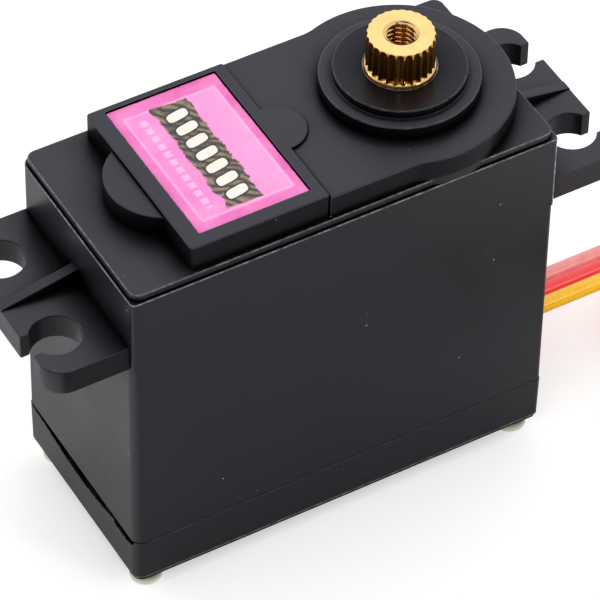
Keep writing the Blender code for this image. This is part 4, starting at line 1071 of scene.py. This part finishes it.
# ---- materials of the pieces that keep their shape ----
FINISH = {
    STEEL: ["third_gear_pinion", "second_gear_pinion", "first_gear_pinion", "centre_gear_pin",
            "rear_gear_pin", "motor_shaft", "pot_shaft", "upper_bearing_outer_race",
            "upper_bearing_inner_race", "lower_bearing_outer_race",
            "lower_bearing_inner_race"],
    SCREW: ["motor_screw_1", "motor_screw_2"],
    ALLOY: ["output_gear", "third_gear_wheel", "second_gear_wheel", "first_gear_wheel"],
    BRASS: ["motor_pinion", "motor_front_bush", "motor_brush_1", "motor_brush_2", "pot_wiper",
            "upper_bearing_ball_cage", "lower_bearing_ball_cage", "contact_1", "contact_2",
            "contact_3"],
    CAN: ["motor_can"],
    IRON: ["rotor_core"],
    FERRITE: ["motor_magnet_1", "motor_magnet_2"],
    COPPER: ["rotor_coil_1", "rotor_coil_2", "rotor_coil_3", "commutator"],
    WHITE_NYLON: ["motor_end_bell"],
    POT: ["pot_body"],
    PHENOLIC: ["pot_base"],
    BOARD: ["circuit_board"],
    CHIP: ["control_chip", "driver_mosfet_1", "driver_mosfet_2"],
    CAP: ["filter_capacitor", "resonator"],
    BROWN: ["pot_ribbon"],
}
for material, names in FINISH.items():
    for name in names:
        piece = NODES[name]
        if not piece.material_slots:
            piece.data.materials.append(material)
        for slot in piece.material_slots:
            slot.material = material


# ---- floor ----
def floor_material(name):
    """Pale to the camera; other rays see a floor that is darker in front and near the case."""
    mat = Material(name)
    camera_ray = mat.node("ShaderNodeLightPath").outputs["Is Camera Ray"]
    x, y, _ = mat.split(mat.mm)
    behind = mat.ramp(mat.math("SUBTRACT", y, x), (2.0, 20.0), smooth=True)
    far = mat.ramp(x, (12.0, 44.0), smooth=True)
    bounce = mat.mix(mat.larger(behind, mat.times(far, 0.72)),
                     (0.42, 0.42, 0.45, 1), (0.76, 0.76, 0.79, 1))
    return mat.set(color=mat.mix(camera_ray, bounce, (0.80, 0.80, 0.80, 1)), rough=1.0,
                   spec=0.0, glow=(1, 1, 1, 1), glow_strength=mat.times(camera_ray, 0.37))


bm = bmesh.new()
bmesh.ops.create_grid(bm, x_segments=1, y_segments=1, size=3.0)         # metres
floor = from_bmesh("floor", bm)
floor.location = (0, 0, TABLE_Z * MM)
floor.data.materials.append(floor_material("pale_floor"))

# ---- world: even light, but reflections see a darker room low down on the viewer's side ----
world = bpy.data.worlds.new("studio")
scene.world = world
world.use_nodes = True
sky = world.node_tree.nodes["Background"]
sky.inputs["Strength"].default_value = 0.95
graph = Graph(world.node_tree)
direction = graph.node("ShaderNodeTexCoord").outputs["Generated"]
to_viewer = graph.node("ShaderNodeVectorMath", operation="DOT_PRODUCT")
graph.put(direction, to_viewer.inputs[0])
to_viewer.inputs[1].default_value = (-0.509, -0.861, 0.0)
viewer_side = graph.ramp(to_viewer.outputs["Value"], (0.20, 0.42), smooth=True)
low_down = graph.ramp(graph.split(direction)[2], (0.90, 0.80), smooth=True)
dark_room = graph.node("ShaderNodeMath", operation="MULTIPLY")
graph.put(viewer_side, dark_room.inputs[0])
graph.put(low_down, dark_room.inputs[1])
reflected = graph.mix(dark_room.outputs[0], (0.95, 0.95, 1.12, 1), (0.10, 0.10, 0.11, 1))
glossy_ray = graph.node("ShaderNodeLightPath").outputs["Is Glossy Ray"]
graph.put(graph.mix(glossy_ray, (1.06, 1.06, 1.06, 1), reflected), sky.inputs["Color"])


# ---- lights (metres, watts) ----
def softbox(name, at, aim, size, watts):
    light = bpy.data.lights.new(name, "AREA")
    light.shape = "SQUARE"
    light.size = size
    light.energy = watts
    lamp = bpy.data.objects.new(name, light)
    lamp.location = at
    lamp.rotation_euler = (Vector(aim) - Vector(at)).to_track_quat("-Z", "Y").to_euler()
    lamp.visible_camera = False
    scene.collection.objects.link(lamp)


softbox("key_back", at=(0.24, 0.46, 0.50), aim=(0, 0, 0.02), size=0.45, watts=0.25)
softbox("glint_front", at=(0.26, -0.50, 0.42), aim=(0, 0, 0.03), size=0.12, watts=0.5)
softbox("glint_left", at=(-0.50, 0.42, 0.26), aim=(0, 0, 0.03), size=0.12, watts=0.4)

# ---- camera ----
CAMERA_AT = Vector((-143.86, -245.17, 309.95))
CAMERA_RIGHT = Vector((0.86781604, -0.496686, 0.01408337))
CAMERA_UP = Vector((0.34846571, 0.62855956, 0.69533052))
CAMERA_BACK = Vector((-0.35421317, -0.59851141, 0.7185521))
lens = bpy.data.cameras.new("camera")
lens.lens = 284.07
lens.sensor_width = 36.0
lens.clip_start = 0.01          # metres
lens.clip_end = 20.0
camera = bpy.data.objects.new("camera", lens)
turn = Matrix((CAMERA_RIGHT, CAMERA_UP, CAMERA_BACK)).transposed().to_4x4()
camera.matrix_world = Matrix.Translation(CAMERA_AT * MM) @ turn
scene.collection.objects.link(camera)
scene.camera = camera
scene.view_settings.view_transform = "Standard"
scene.view_settings.look = "None"
